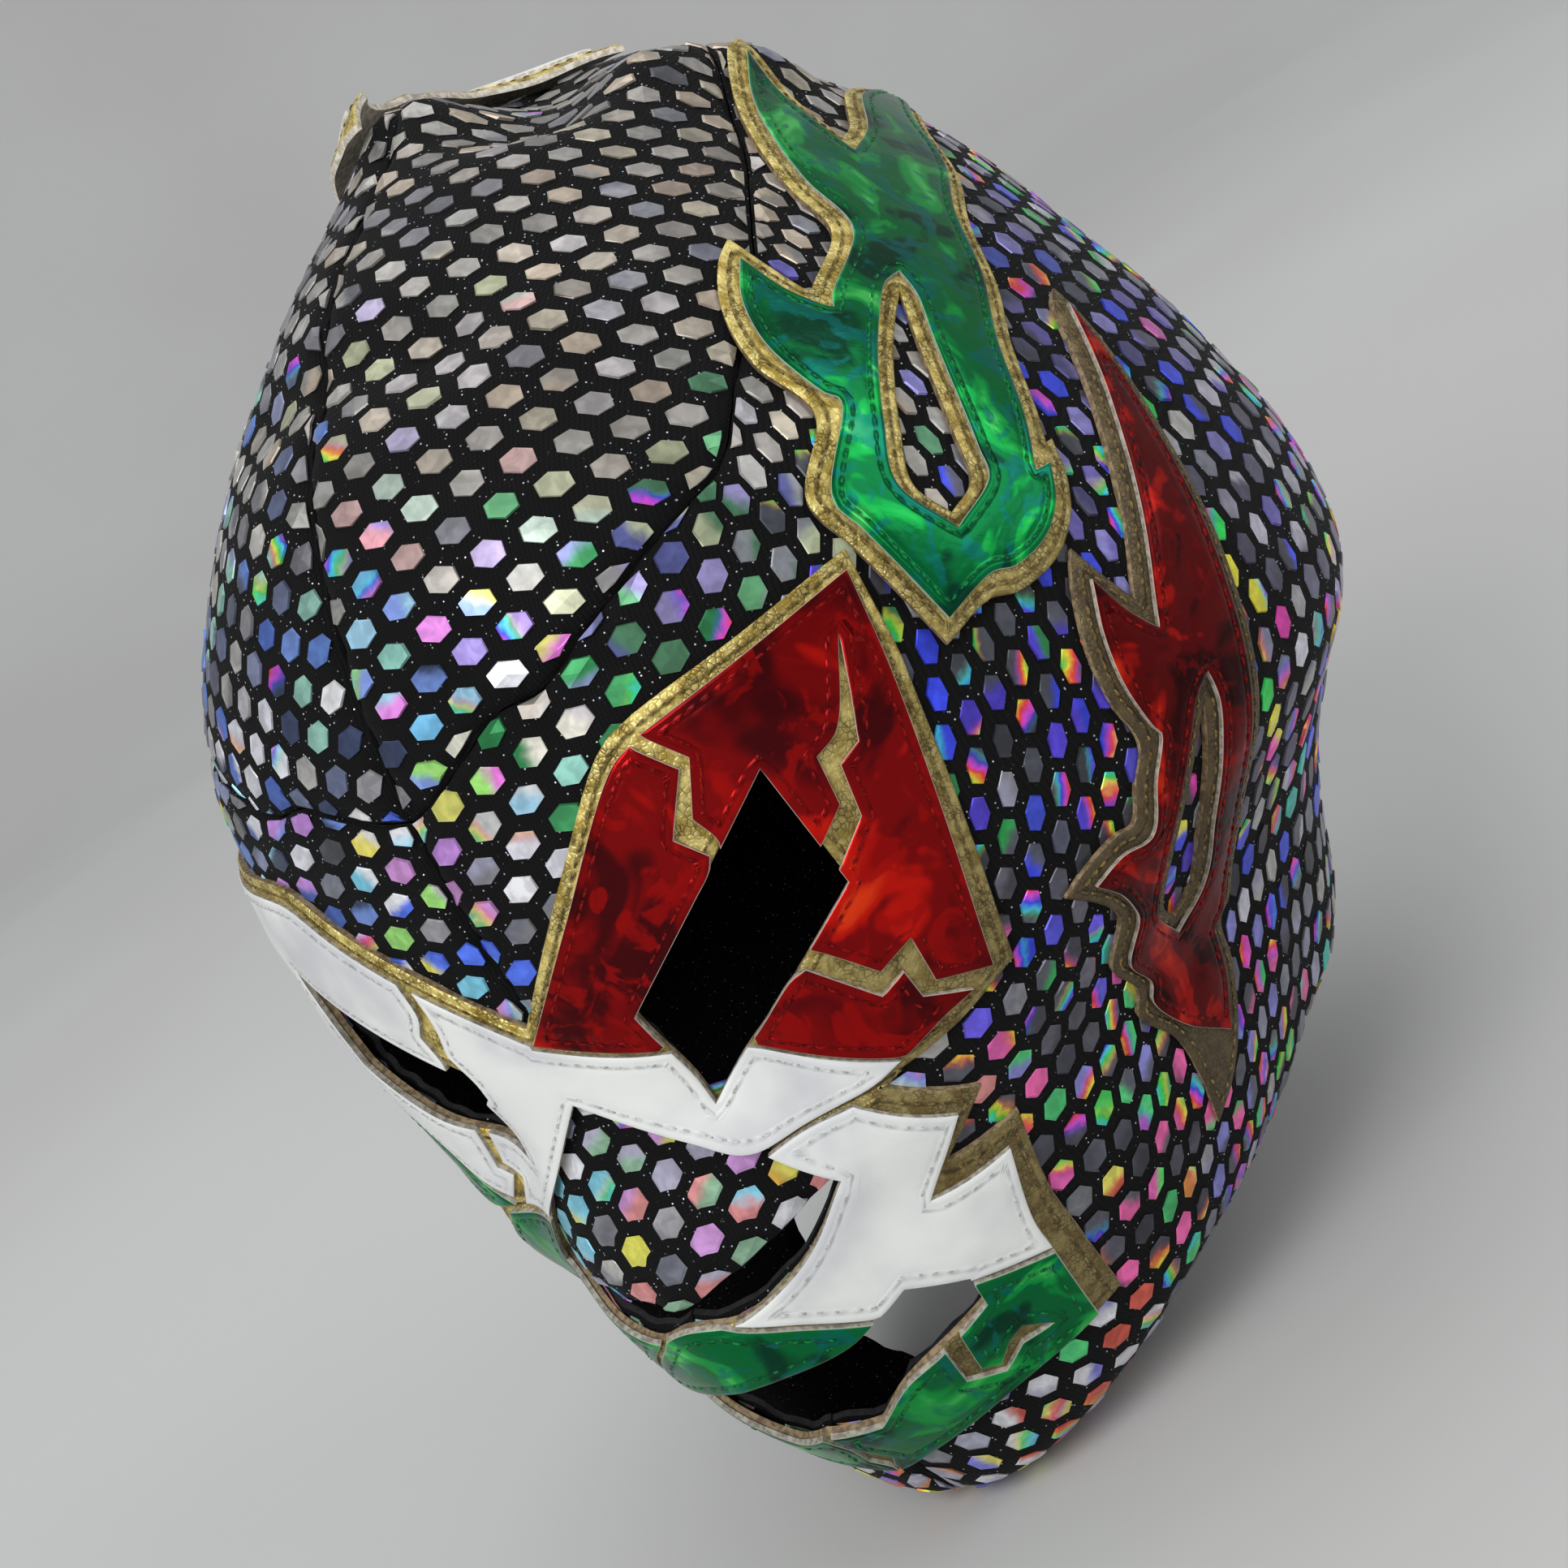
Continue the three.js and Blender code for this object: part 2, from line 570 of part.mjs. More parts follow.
// Knit panels
const fullRing = (half) => {
  const inner = half.slice(1, -1);
  return [half[0], ...inner, half[half.length - 1], ...mirror(inner).reverse()];
};
const crownCone = capCone(fullRing(CROWN_SEAM), 90);
const seamDegrees = toDegrees(SEAM_GAP / CROWN_HEIGHT);
const belowSeam = CROWN_SEAM.map(([azimuth, elevation]) => [azimuth, elevation - seamDegrees]);
const crownAndSeamCone = capCone(fullRing(belowSeam), 90);
const hemCone = capCone(fullRing(HEM), -90);
const halves = { left: halfSpace(1), right: halfSpace(-1) };

const slitHalf = span(SLIT_WIDTH / 2, 180, 0);
const slitCone = cone([
  [180 - slitHalf, GRID_BOTTOM],
  [180 + slitHalf, GRID_BOTTOM],
  [180 + slitHalf, SLIT_TOP],
  [180 - slitHalf, SLIT_TOP],
]);

for (const [side, half] of Object.entries(halves)) {
  addPiece(`crown_${side}`, knit.intersect(crownCone).intersect(half), knitMaterial);
}
for (const [side, half] of Object.entries(halves)) {
  const whole = knit.intersect(half);
  const panel = cut(
    whole,
    crownAndSeamCone,
    hemCone,
    ...knitEyeCones,
    knitMouthCone,
    cone(grow(NOSE_PANEL, SEAM_GAP)),
    cone(UNDER_NOSE),
    slitCone,
  );
  addPiece(`side_${side}`, panel, knitMaterial);
}
addPiece('nose_panel', knit.intersect(cone(NOSE_PANEL)), knitMaterial);

// Metallic leather under the eyes and bridge, and under the cheeks, lip and jaw
const band = (low, high) => cone([
  [-SURROUND_REACH, low], [SURROUND_REACH, low], [SURROUND_REACH, high], [-SURROUND_REACH, high],
]);
const above = band(SURROUND_SEAM, SURROUND_REACH);
const below = band(-SURROUND_REACH, SURROUND_SEAM - seamDegrees);
const backing = leather.intersect(cone(BACKING)).subtract(noseCone);
addPiece('eye_backing', cut(backing.intersect(above), ...eyeCones), goldMaterial);
addPiece('mouth_backing', backing.intersect(below).subtract(mouthCone), goldMaterial);

// Foil film and vinyl on the metallic leather
const skin = cut(
  foil.intersect(cone(SKIN)),
  cone(grow(NOSE_OPENING, -FOIL_OVERHANG)),
  cone(grow(MOUTH, -FOIL_OVERHANG)),
  ...eyes.map((eye) => cone(grow(eye, -FOIL_OVERHANG))),
);
const cover = (outline, ...cracks) => {
  const whole = skin.intersect(cone(outline));
  return cut(whole, ...cracks.map((crack) => cone(crack)));
};

addPiece('red_strip_left', cover(RED_STRIP), redMaterial);
addPiece('red_brow_left', cover(RED_BROW, BROW_CRACK), redMaterial);
addPiece('red_low_left', cover(RED_LOW), redMaterial);
addPiece('white_bridge', cover(WHITE_BRIDGE), whiteMaterial);
addPiece('white_brow_right', cover(WHITE_BROW), whiteMaterial);
addPiece('green_low_right', cover(GREEN_LOW), greenMaterial);
addPiece('white_cheek_left', cover(CHEEK), whiteMaterial);
addPiece('green_cheek_right', cover(mirror(CHEEK)), greenMaterial);
addPiece('green_lip', cover(GREEN_LIP), greenMaterial);
addPiece('green_jaw_left', cover(JAW, JAW_CRACK), greenMaterial);
addPiece('green_jaw_right', cover(mirror(JAW)), greenMaterial);

// Flame scrolls, each on its own backing
const SCROLLS = {
  green_scroll: {
    horns: GREEN_HORNS,
    piercings: GREEN_PIERCINGS,
    length: GREEN_SCROLL_LENGTH,
    material: greenMaterial,
    backing: leather,
    top: foil,
  },
  red_scroll: {
    horns: RED_HORNS,
    piercings: RED_PIERCINGS,
    length: RED_SCROLL_LENGTH,
    material: redMaterial,
    backing: leather,
    top: foil,
  },
  white_scroll: {
    horns: WHITE_HORNS,
    piercings: [],
    length: WHITE_SCROLL_LENGTH,
    material: whiteMaterial,
    backing: liftedLeather,
    top: liftedFoil,
  },
};
for (const place of SCROLL_PLACES) {
  const scroll = SCROLLS[place.name];
  const shape = (extra) => hornCones(scroll.horns, scroll.length, place, extra);
  const holes = (extra) => scroll.piercings.map((horn) => hornCones([horn], scroll.length, place, extra));
  const border = cut(scroll.backing.intersect(shape(SCROLL_BORDER)), ...holes(0));
  const top = cut(scroll.top.intersect(shape(0)), ...holes(PIERCING_BORDER));
  addPiece(`${place.name}_backing`, border, goldMaterial);
  addPiece(place.name, top, scroll.material);
}

// Back closure: a plain tongue inside the slit and a flat lace across it
const tongueHalf = span(TONGUE_WIDTH / 2, 180, 0);
const tongueTop = SLIT_TOP + span(TONGUE_WIDTH / 4, 180, SLIT_TOP);
const tongueCone = cone([
  [180 - tongueHalf, BACK_HEM + TONGUE_HEM_MARGIN],
  [180 + tongueHalf, BACK_HEM + TONGUE_HEM_MARGIN],
  [180 + tongueHalf, tongueTop],
  [180 - tongueHalf, tongueTop],
]);
const tongueLayer = layer(-LAYER_GAP - TONGUE_WALL, -LAYER_GAP);
addPiece('closure_tongue', tongueLayer.intersect(tongueCone), knitMaterial);

const laceBottom = BACK_HEM + LACE_HEM_MARGIN;
const laceTop = SLIT_TOP - LACE_TOP_MARGIN;
const laceLine = [];
for (let i = 0; i <= LACE_CROSSINGS; i += 1) {
  const elevation = THREE.MathUtils.lerp(laceBottom, laceTop, i / LACE_CROSSINGS);
  const reach = span(LACE_REACH, 180, elevation) / Math.cos(toRadians(elevation));
  laceLine.push([180 + (i % 2 ? reach : -reach), elevation]);
}
const laceLayer = layer(leatherInner, leatherInner + LACE_WALL);
addPiece('closure_lace', laceLayer.intersect(cone(ribbon(laceLine, LACE_WIDTH))), laceMaterial);

// The crown seat becomes the origin.
const mask = new THREE.Group();
pieces.position.z = -CROWN_HEIGHT;
mask.add(pieces);

export default mask;
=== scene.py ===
"""A luchador mask: foil-dotted knit hood, leather, foil and vinyl surround, flame scrolls, laced back.

Lengths are in millimetres from the head's centre until a mesh is written, which is in metres.
"""

import logging
import math
from dataclasses import dataclass, field
from enum import Enum

import bmesh
import bpy
import numpy as np
from mathutils import Matrix, Vector
from mathutils.kdtree import KDTree


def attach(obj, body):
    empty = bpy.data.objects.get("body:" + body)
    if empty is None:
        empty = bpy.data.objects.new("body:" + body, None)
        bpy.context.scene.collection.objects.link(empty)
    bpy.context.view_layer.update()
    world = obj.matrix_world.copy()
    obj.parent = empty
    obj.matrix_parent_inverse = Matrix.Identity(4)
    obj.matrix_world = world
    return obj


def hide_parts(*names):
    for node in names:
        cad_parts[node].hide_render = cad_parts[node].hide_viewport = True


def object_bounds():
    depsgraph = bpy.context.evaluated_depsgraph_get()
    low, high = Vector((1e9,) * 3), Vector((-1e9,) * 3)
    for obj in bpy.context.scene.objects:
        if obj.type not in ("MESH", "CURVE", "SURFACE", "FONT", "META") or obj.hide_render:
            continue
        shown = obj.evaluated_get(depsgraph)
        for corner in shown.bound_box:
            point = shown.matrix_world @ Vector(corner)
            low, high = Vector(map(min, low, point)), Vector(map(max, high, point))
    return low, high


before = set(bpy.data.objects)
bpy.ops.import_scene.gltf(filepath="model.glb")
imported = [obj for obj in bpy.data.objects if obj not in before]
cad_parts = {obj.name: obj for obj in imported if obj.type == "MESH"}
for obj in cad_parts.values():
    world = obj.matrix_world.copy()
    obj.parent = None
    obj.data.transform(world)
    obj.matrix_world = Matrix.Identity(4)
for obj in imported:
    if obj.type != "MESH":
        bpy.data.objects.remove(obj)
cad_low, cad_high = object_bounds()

LOG = logging.getLogger("luchador_mask")
METRES = 0.001
CM2_PER_M2 = 1e4
FLOOR_GAP = 0.0005
BODY = "root"
MM_PER_RADIAN = 100.0
STITCH_PITCH = 2.3
KNIT_THICKNESS = 1.3
NORMAL_STEP = 0.01
CURVE_STEPS = 12
TINY = 1e-12

Socket = bpy.types.NodeSocket
Level = float | Socket
Colour = tuple[float, ...] | np.ndarray | Socket


def unit(vectors: np.ndarray) -> np.ndarray:
    """Vectors made one long.

    Args:
        vectors: Rows of vectors.

    Returns:
        The same rows at length one.
    """
    return vectors / np.maximum(np.linalg.norm(vectors, axis=-1, keepdims=True), TINY)


def direction(azimuth: float | np.ndarray, elevation: float | np.ndarray) -> np.ndarray:
    """Unit directions from the head's centre.

    Args:
        azimuth: Degrees from the face towards the wearer's left.
        elevation: Degrees above the level plane.

    Returns:
        One row for each direction.
    """
    a, e = np.radians(azimuth), np.radians(elevation)
    return np.stack([np.cos(e) * np.sin(a), -np.cos(e) * np.cos(a), np.sin(e)], axis=-1)


def ease(values: np.ndarray) -> np.ndarray:
    """Values held from 0 to 1 and eased at both ends."""
    held = np.clip(values, 0, 1)
    return held * held * (3 - 2 * held)


# The form that the cloth lies on


@dataclass(frozen=True)
class FormRow:
    """Shares of the form's depths and width at one elevation, and how square its front is."""

    elevation: float
    front: float
    side: float
    back: float
    squareness: float


@dataclass(frozen=True)
class Fold:
    """A ridge or hollow between two directions, with its half width in radians."""

    start: tuple[float, float]
    end: tuple[float, float]
    half_width: float
    height: float


@dataclass(frozen=True)
class HeadForm:
    """Worn shape of the hood's inside, as distances in millimetres from the head's centre."""

    face_depth: float = 95.0
    half_width: float = 89.5
    back_depth: float = 96.5
    crown_height: float = 115.5
    chin_drop: float = 105.5
    rows: tuple[FormRow, ...] = (
        FormRow(-75, 1.06, 0.97, 1.12, 1.9),
        FormRow(-62, 1.17, 1.0, 1.06, 1.9),
        FormRow(-54, 1.27, 0.98, 0.98, 1.9),
        FormRow(-46, 1.22, 0.94, 0.92, 1.85),
        FormRow(-38, 1.21, 0.9, 0.89, 1.72),
        FormRow(-30, 1.2, 0.9, 0.91, 1.6),
        FormRow(-22, 1.15, 0.94, 0.94, 1.64),
        FormRow(-12, 1.03, 1.01, 0.98, 1.76),
        FormRow(0, 1.0, 1.0, 1.0, 1.94),
        FormRow(15, 1.01, 0.95, 1.04, 2.12),
        FormRow(30, 1.02, 0.9, 1.06, 2.3),
        FormRow(45, 1.01, 0.89, 1.07, 2.1),
        FormRow(60, 0.98, 0.91, 1.05, 1.96),
        FormRow(75, 0.96, 0.96, 1.02, 2.0),
        FormRow(90, 1.0, 1.0, 1.0, 2.0),
    )
    folds: tuple[Fold, ...] = (
        Fold((104, 70), (125, 62), 0.08, 0.034),
        Fold((-28, 87), (30, 88), 0.055, 0.026),
        Fold((76, 79), (160, 78), 0.11, -0.072),
        Fold((-42, 68), (-32, 79), 0.1, -0.012),
        Fold((-14, 57), (20, 54), 0.07, -0.02),
        Fold((128, 8), (150, -26), 0.1, -0.018),
        Fold((-128, 8), (-150, -26), 0.1, -0.018),
        Fold((14, -10), (18, -26), 0.085, -0.028),
        Fold((-14, -10), (-18, -26), 0.085, -0.028),
    )

    @property
    def centre(self) -> np.ndarray:
        """The head's centre in metres, below the seat of the crown."""
        return np.array([0.0, 0.0, -self.crown_height * METRES])

    def shares(self, elevation: np.ndarray) -> np.ndarray:
        """Shares and squareness on smooth curves through the rows.

        Args:
            elevation: Degrees above the level plane.

        Returns:
            Front, side, back and squareness in the last axis.
        """
        at = np.array([row.elevation for row in self.rows], float)
        values = np.array([[r.front, r.side, r.back, r.squareness] for r in self.rows])
        t = np.clip(elevation, at[0], at[-1])
        after = np.clip(np.searchsorted(at, t, side="right"), 1, len(at) - 1)
        before = after - 1
        low, high = at[before], at[after]
        first, last = before == 0, after == len(at) - 1
        one_back = np.where(first, after, before - 1)
        one_on = np.where(last, before, np.minimum(after + 1, len(at) - 1))
        low_back = np.where(first, 2 * low - high, at[np.maximum(before - 1, 0)])
        high_on = np.where(last, 2 * high - low, at[np.minimum(after + 1, len(at) - 1)])
        half = (high - low) / 2
        pull_back, pull_on = half / (low - low_back), half / (high_on - high)
        p = (t - low) / (high - low)
        square, cube = p * p, p * p * p
        weights = (
            -pull_back * cube + 2 * pull_back * square - pull_back * p,
            (1 + pull_back) * cube + (-1.5 - 2 * pull_back) * square + (-0.5 + pull_back) * p + 1,
            (-1 - pull_on) * cube + (1.5 + pull_on) * square + 0.5 * p,
            pull_on * cube - pull_on * square,
        )
        parts = zip(weights, (one_back, before, after, one_on))
        return sum(weight[..., None] * values[row] for weight, row in parts)

    def fold_height(self, towards: np.ndarray) -> np.ndarray:
        """How far the folds raise the form at each direction.

        Args:
            towards: Unit directions, one a row.

        Returns:
            Millimetres for each direction.
        """
        height = np.zeros(len(towards))
        for fold in self.folds:
            start = direction(*fold.start)
            run = direction(*fold.end) - start
            along = np.clip((towards - start) @ run / (run @ run), 0, 1)
            nearest = unit(start + along[:, None] * run)
            away = np.arccos(np.clip((nearest * towards).sum(-1), -1, 1))
            height += fold.height * self.crown_height * np.exp(-((away / fold.half_width) ** 2))
        return height

    def radius(self, towards: np.ndarray) -> np.ndarray:
        """Distance of the form from the centre.

        Args:
            towards: Unit directions, one a row.

        Returns:
            Millimetres for each direction.
        """
        elevation = np.arcsin(np.clip(towards[:, 2], -1, 1))
        azimuth = np.arctan2(towards[:, 0], -towards[:, 1])
        share = self.shares(np.degrees(elevation))
        height = np.where(elevation > 0, self.crown_height, self.chin_drop)

        def plain(depth: float) -> np.ndarray:
            """Distance of a plain ellipse of this depth."""
            return 1 / np.hypot(np.cos(elevation) / depth, np.sin(elevation) / height)

        ahead = np.cos(azimuth)
        front = share[:, 0] * plain(self.face_depth)
        back = share[:, 2] * plain(self.back_depth)
        depth = np.where(ahead >= 0, front, back)
        power = np.where(ahead >= 0, share[:, 3], 2.0)
        width = share[:, 1] * plain(self.half_width)
        ring = np.abs(ahead / depth) ** power + np.abs(np.sin(azimuth) / width) ** power
        return ring ** (-1 / power) + self.fold_height(towards)

    def place(self, towards: np.ndarray, height: float | np.ndarray) -> np.ndarray:
        """Places above the form, in millimetres from the centre."""
        return towards * (self.radius(towards) + height)[:, None]

    def outward(self, towards: np.ndarray) -> np.ndarray:
        """Unit normals of the form at each direction.

        Args:
            towards: Unit directions, one a row.

        Returns:
            One normal a row.
        """
        pole = np.where(np.abs(towards[:, 2:3]) > 0.9, [[0.0, 1.0, 0.0]], [[0.0, 0.0, 1.0]])
        east = unit(np.cross(pole, towards))
        north = np.cross(towards, east)
        here = self.place(towards, 0)
        sides = [self.place(unit(towards + NORMAL_STEP * way), 0) - here for way in (east, north)]
        return unit(np.cross(*sides))


@dataclass(frozen=True)
class FlatMap:
    """Flat pattern of a part of the form, spread about one direction, in millimetres."""

    centre: tuple[float, float, float]

    def axes(self) -> tuple[np.ndarray, np.ndarray, np.ndarray]:
        """Outward, across and up at the centre of the pattern.

        Returns:
            Three unit vectors.
        """
        out = np.array(self.centre)
        east = unit(np.cross([0.0, 0.0, 1.0], out))
        return out, east, np.cross(out, east)

    def flat(self, towards: np.ndarray) -> np.ndarray:
        """Places on the pattern of unit directions.

        Args:
            towards: Unit directions, one a row.

        Returns:
            Millimetres across and up, one place a row.
        """
        out, east, north = self.axes()
        across = np.stack([towards @ east, towards @ north], axis=-1)
        reach = np.linalg.norm(across, axis=-1)
        turn = np.arctan2(reach, towards @ out)
        return across * (MM_PER_RADIAN * turn / np.maximum(reach, TINY))[:, None]

    def towards(self, flat: np.ndarray) -> np.ndarray:
        """Unit directions of places on the pattern.

        Args:
            flat: Millimetres across and up, one place a row.

        Returns:
            One direction a row.
        """
        out, east, north = self.axes()
        reach = np.linalg.norm(flat, axis=-1)
        turn = reach / MM_PER_RADIAN
        bearing = (flat[:, :1] * east + flat[:, 1:] * north) / np.maximum(reach, TINY)[:, None]
        return np.cos(turn)[:, None] * out + np.sin(turn)[:, None] * bearing


# Outlines


def without_extra(loop: np.ndarray, slack: float = 0.06) -> np.ndarray:
    """A closed loop without the points that lie on the straight line of their neighbours.

    Args:
        loop: Closed loop of points.
        slack: How far off the line a point may lie and still be left out.

    Returns:
        The points that are kept.
    """
    kept = [loop[0]]
    for i in range(1, len(loop)):
        ahead = loop[(i + 1) % len(loop)] - kept[-1]
        here = loop[i] - kept[-1]
        off = abs(ahead[0] * here[1] - ahead[1] * here[0]) / max(np.linalg.norm(ahead), 1e-9)
        if off > slack or here @ ahead > ahead @ ahead or here @ ahead < 0:
            kept.append(loop[i])
    return np.array(kept)


def curve_through(points: np.ndarray, spacing: float, closed: bool) -> np.ndarray:
    """Even points on a smooth curve through a few points.

    Args:
        points: The points to pass through.
        spacing: Distance between the points that come back.
        closed: Whether the curve comes back to its first point.

    Returns:
        Points from the first on, without the last.
    """
    if closed:
        padded = np.vstack([points[-1:], points, points[:2]])
    else:
        first, last = 2 * points[0] - points[1], 2 * points[-1] - points[-2]
        padded = np.vstack([first, points, last])
    dense = []
    for i in range(1, len(padded) - 2):
        four = padded[i - 1 : i + 3]
        gaps = np.maximum(np.linalg.norm(np.diff(four, axis=0), axis=1), 1e-6)
        knots = np.concatenate([[0], np.cumsum(gaps**0.5)])
        t = np.linspace(knots[1], knots[2], CURVE_STEPS, endpoint=False)[:, None]

        def between(a: np.ndarray, b: np.ndarray, i0: int, i1: int) -> np.ndarray:
            """Blend of two curves between two knots."""
            return (a * (knots[i1] - t) + b * (t - knots[i0])) / (knots[i1] - knots[i0])

        one = [between(four[k], four[k + 1], k, k + 1) for k in range(3)]
        two = [between(one[k], one[k + 1], k, k + 2) for k in range(2)]
        dense.append(between(two[0], two[1], 1, 2))
    dense.append(padded[-2:-1])
    line = np.vstack(dense)
    reach = np.concatenate([[0], np.cumsum(np.linalg.norm(np.diff(line, axis=0), axis=1))])
    count = max(1, round(reach[-1] / spacing))
    at = np.linspace(0, reach[-1], count, endpoint=False)
    return np.stack([np.interp(at, reach, line[:, k]) for k in range(2)], axis=-1)


def rounded_loop(loop: np.ndarray, corner: float, spacing: float) -> np.ndarray:
    """A loop whose soft bends are curves and whose sharp corners stay.

    Args:
        loop: Closed loop of points.
        corner: Bends above this many degrees stay sharp.
        spacing: Distance between the points that come back.

    Returns:
        The closed loop as even points.
    """
    bare = without_extra(loop)
    back, ahead = bare - np.roll(bare, 1, axis=0), np.roll(bare, -1, axis=0) - bare
    turn = np.arctan2(back[:, 0] * ahead[:, 1] - back[:, 1] * ahead[:, 0], (back * ahead).sum(-1))
    sharp = np.flatnonzero(np.abs(turn) > math.radians(corner))
    if len(sharp) == 0:
        return curve_through(bare, spacing, closed=True)
    runs = []
    for which, start in enumerate(sharp):
        end = sharp[(which + 1) % len(sharp)]
        count = (end - start) % len(bare) or len(bare)
        run = bare[(start + np.arange(count + 1)) % len(bare)]
        runs.append(curve_through(run, spacing, closed=False))
    return np.vstack(runs)


class Outline:
    """Edge of one sheet on its flat pattern. The cloth is on the left of the walk along it."""

    widening: float = 0.7

    def __init__(self, loops: list[np.ndarray]) -> None:
        """Keeps the loops and measures them.

        Args:
            loops: Closed loops of even points.
        """
        self.loops = loops
        self.points = np.vstack(loops)
        self.following = np.concatenate([np.roll(numbers, -1) for numbers in self.loop_numbers()])
        self.leading = np.concatenate([np.roll(numbers, 1) for numbers in self.loop_numbers()])
        steps = self.points[self.following] - self.points
        self.step_lengths = np.linalg.norm(steps, axis=1)
        self.tangents = unit(steps + self.points - self.points[self.leading])
        self.inward = np.stack([-self.tangents[:, 1], self.tangents[:, 0]], axis=-1)
        self.arcs = np.concatenate([
            np.concatenate([[0], np.cumsum(self.step_lengths[numbers])[:-1]])
            for numbers in self.loop_numbers()
        ])
        self.tree = KDTree(len(self.points))
        for i, (x, y) in enumerate(self.points):
            self.tree.insert((x, y, 0), i)
        self.tree.balance()

    def cut_size(self) -> tuple[tuple[float, float], float]:
        """Size of the cut cloth on its flat pattern.

        Returns:
            Width and length in metres, and the area in square metres.
        """
        width, length = np.ptp(self.points, axis=0) * METRES
        ahead = self.points[self.following]
        area = (self.points[:, 0] * ahead[:, 1] - self.points[:, 1] * ahead[:, 0]).sum() / 2
        return (float(width), float(length)), float(area) * METRES**2

    def loop_numbers(self) -> list[np.ndarray]:
        """The numbers of each loop's points."""
        ends = np.cumsum([len(loop) for loop in self.loops])
        return [np.arange(end - len(loop), end) for end, loop in zip(ends, self.loops)]

    def widths(self, most: float, share: float = 0.75) -> np.ndarray:
        """How far inwards the cloth can be offset at each point before its edges meet.

        Args:
            most: The largest width that is asked for.
            share: Part of the free width that is used.

        Returns:
            Millimetres for each point.
        """
        gap = self.points[None] - self.points[:, None]
        ahead = (gap * self.inward[:, None]).sum(-1)
        reach = (gap**2).sum(-1) / (2 * np.maximum(ahead, 1e-6))
        reach[ahead < 1e-4] = np.inf
        width = np.minimum(most, share * reach.min(1))
        for numbers in self.loop_numbers():
            for order in (numbers, numbers[::-1]) * 2:
                for here, there in zip(order, np.roll(order, -1)):
                    far = np.linalg.norm(self.points[here] - self.points[there])
                    width[there] = min(width[there], width[here] + self.widening * far)
        return width

    def nearest(self, flat: np.ndarray) -> tuple[np.ndarray, np.ndarray, np.ndarray]:
        """The nearest place on the outline.

        Args:
            flat: Places on the pattern.

        Returns:
            Distance, length along the outline, and the number of the nearest point.
        """
        close = np.array([self.tree.find((x, y, 0))[1] for x, y in flat], dtype=int)
        best = np.full(len(flat), np.inf)
        arc = np.zeros(len(flat))
        for start in (close, self.leading[close]):
            run = self.points[self.following[start]] - self.points[start]
            along = ((flat - self.points[start]) * run).sum(-1) / np.maximum((run**2).sum(-1), TINY)
            along = np.clip(along, 0, 1)
            off = np.linalg.norm(flat - self.points[start] - along[:, None] * run, axis=1)
            better = off < best
            best = np.where(better, off, best)
            arc = np.where(better, self.arcs[start] + along * self.step_lengths[start], arc)
        return best, arc, close

    def holds(self, flat: np.ndarray) -> np.ndarray:
        """Whether each place on the pattern lies on the cloth.

        Args:
            flat: Places on the pattern.

        Returns:
            True for the places inside the outline.
        """
        a, b = self.points, self.points[self.following]
        x, y = flat[:, :1], flat[:, 1:]
        spans = (a[:, 1] > y) != (b[:, 1] > y)
        rise = np.where(np.abs(b[:, 1] - a[:, 1]) < TINY, TINY, b[:, 1] - a[:, 1])
        crosses = spans & (x < (b[:, 0] - a[:, 0]) * (y - a[:, 1]) / rise + a[:, 0])
        return crosses.sum(1) % 2 == 1


class NodeShape:
    """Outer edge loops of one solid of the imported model, as directions and as a flat pattern."""

    outer_facing: float = 0.3

    def __init__(self, name: str, form: HeadForm) -> None:
        """Reads the node's mesh, with each ring starting at its lowest point.

        Args:
            name: Name of the CAD node.
            form: The form that gives the centre of all directions.
        """
        centre = Vector(form.centre)
        bm = bmesh.new()
        bm.from_mesh(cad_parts[name].data)
        bmesh.ops.remove_doubles(bm, verts=bm.verts, dist=1e-6)
        bm.normal_update()
        outer = []
        total = Vector()
        for face in bm.faces:
            towards = (face.calc_center_median() - centre).normalized()
            if face.normal.dot(towards) > self.outer_facing:
                outer.append(face)
                total += towards * face.calc_area()
        known = set(outer)
        following = {}
        for face in outer:
            for loop in face.loops:
                if any(other not in known for other in loop.edge.link_faces):
                    following[loop.vert] = loop.link_loop_next.vert
        self.rings = []
        while following:
            here, ring = next(iter(following)), []
            while here in following:
                ring.append(here.co - centre)
                here = following.pop(here)
            if len(ring) > 2:
                edge = unit(np.array([tuple(co) for co in ring]))
                lowest = int(np.argmin(edge[:, 2]))
                self.rings.append(np.roll(edge, -lowest, axis=0))
        bm.free()
        self.map = FlatMap(tuple(total.normalized()))

    def outline(self, corner: float, spacing: float, mirrored: bool = False) -> Outline:
        """The node's edge as smooth loops on its pattern.

        Args:
            corner: Bends above this many degrees stay sharp.
            spacing: Distance between the points.
            mirrored: Whether left and right are changed over, for a node across the back.

        Returns:
            The outline.
        """
        loops = []
        for ring in self.rings:
            flat = self.map.flat(ring)
            if mirrored:
                flat = (flat * [-1, 1])[::-1]
            loops.append(rounded_loop(flat, corner, spacing))
        return Outline(loops)


# Sheets of cloth, leather and film


class Swell:
    """Slow random waves over the form."""

    strength: float = 3.0
    turn_shares: tuple[float, float] = (0.6, 1.4)

    def __init__(self, length: float, seed: int, count: int = 14) -> None:
        """Draws the waves.

        Args:
            length: Rough length of a wave in millimetres.
            seed: Seed of the waves' directions and phases.
            count: Number of waves.
        """
        chance = np.random.default_rng(seed)
        turns = 2 * np.pi / length * chance.uniform(*self.turn_shares, (count, 1))
        self.waves = unit(chance.normal(size=(count, 3))) * turns
        self.phases = chance.uniform(0, 2 * np.pi, count)

    def height(self, towards: np.ndarray) -> np.ndarray:
        """Height at each direction, mostly between -1 and 1."""
        return np.sin(towards * MM_PER_RADIAN @ self.waves.T + self.phases).mean(1) * self.strength


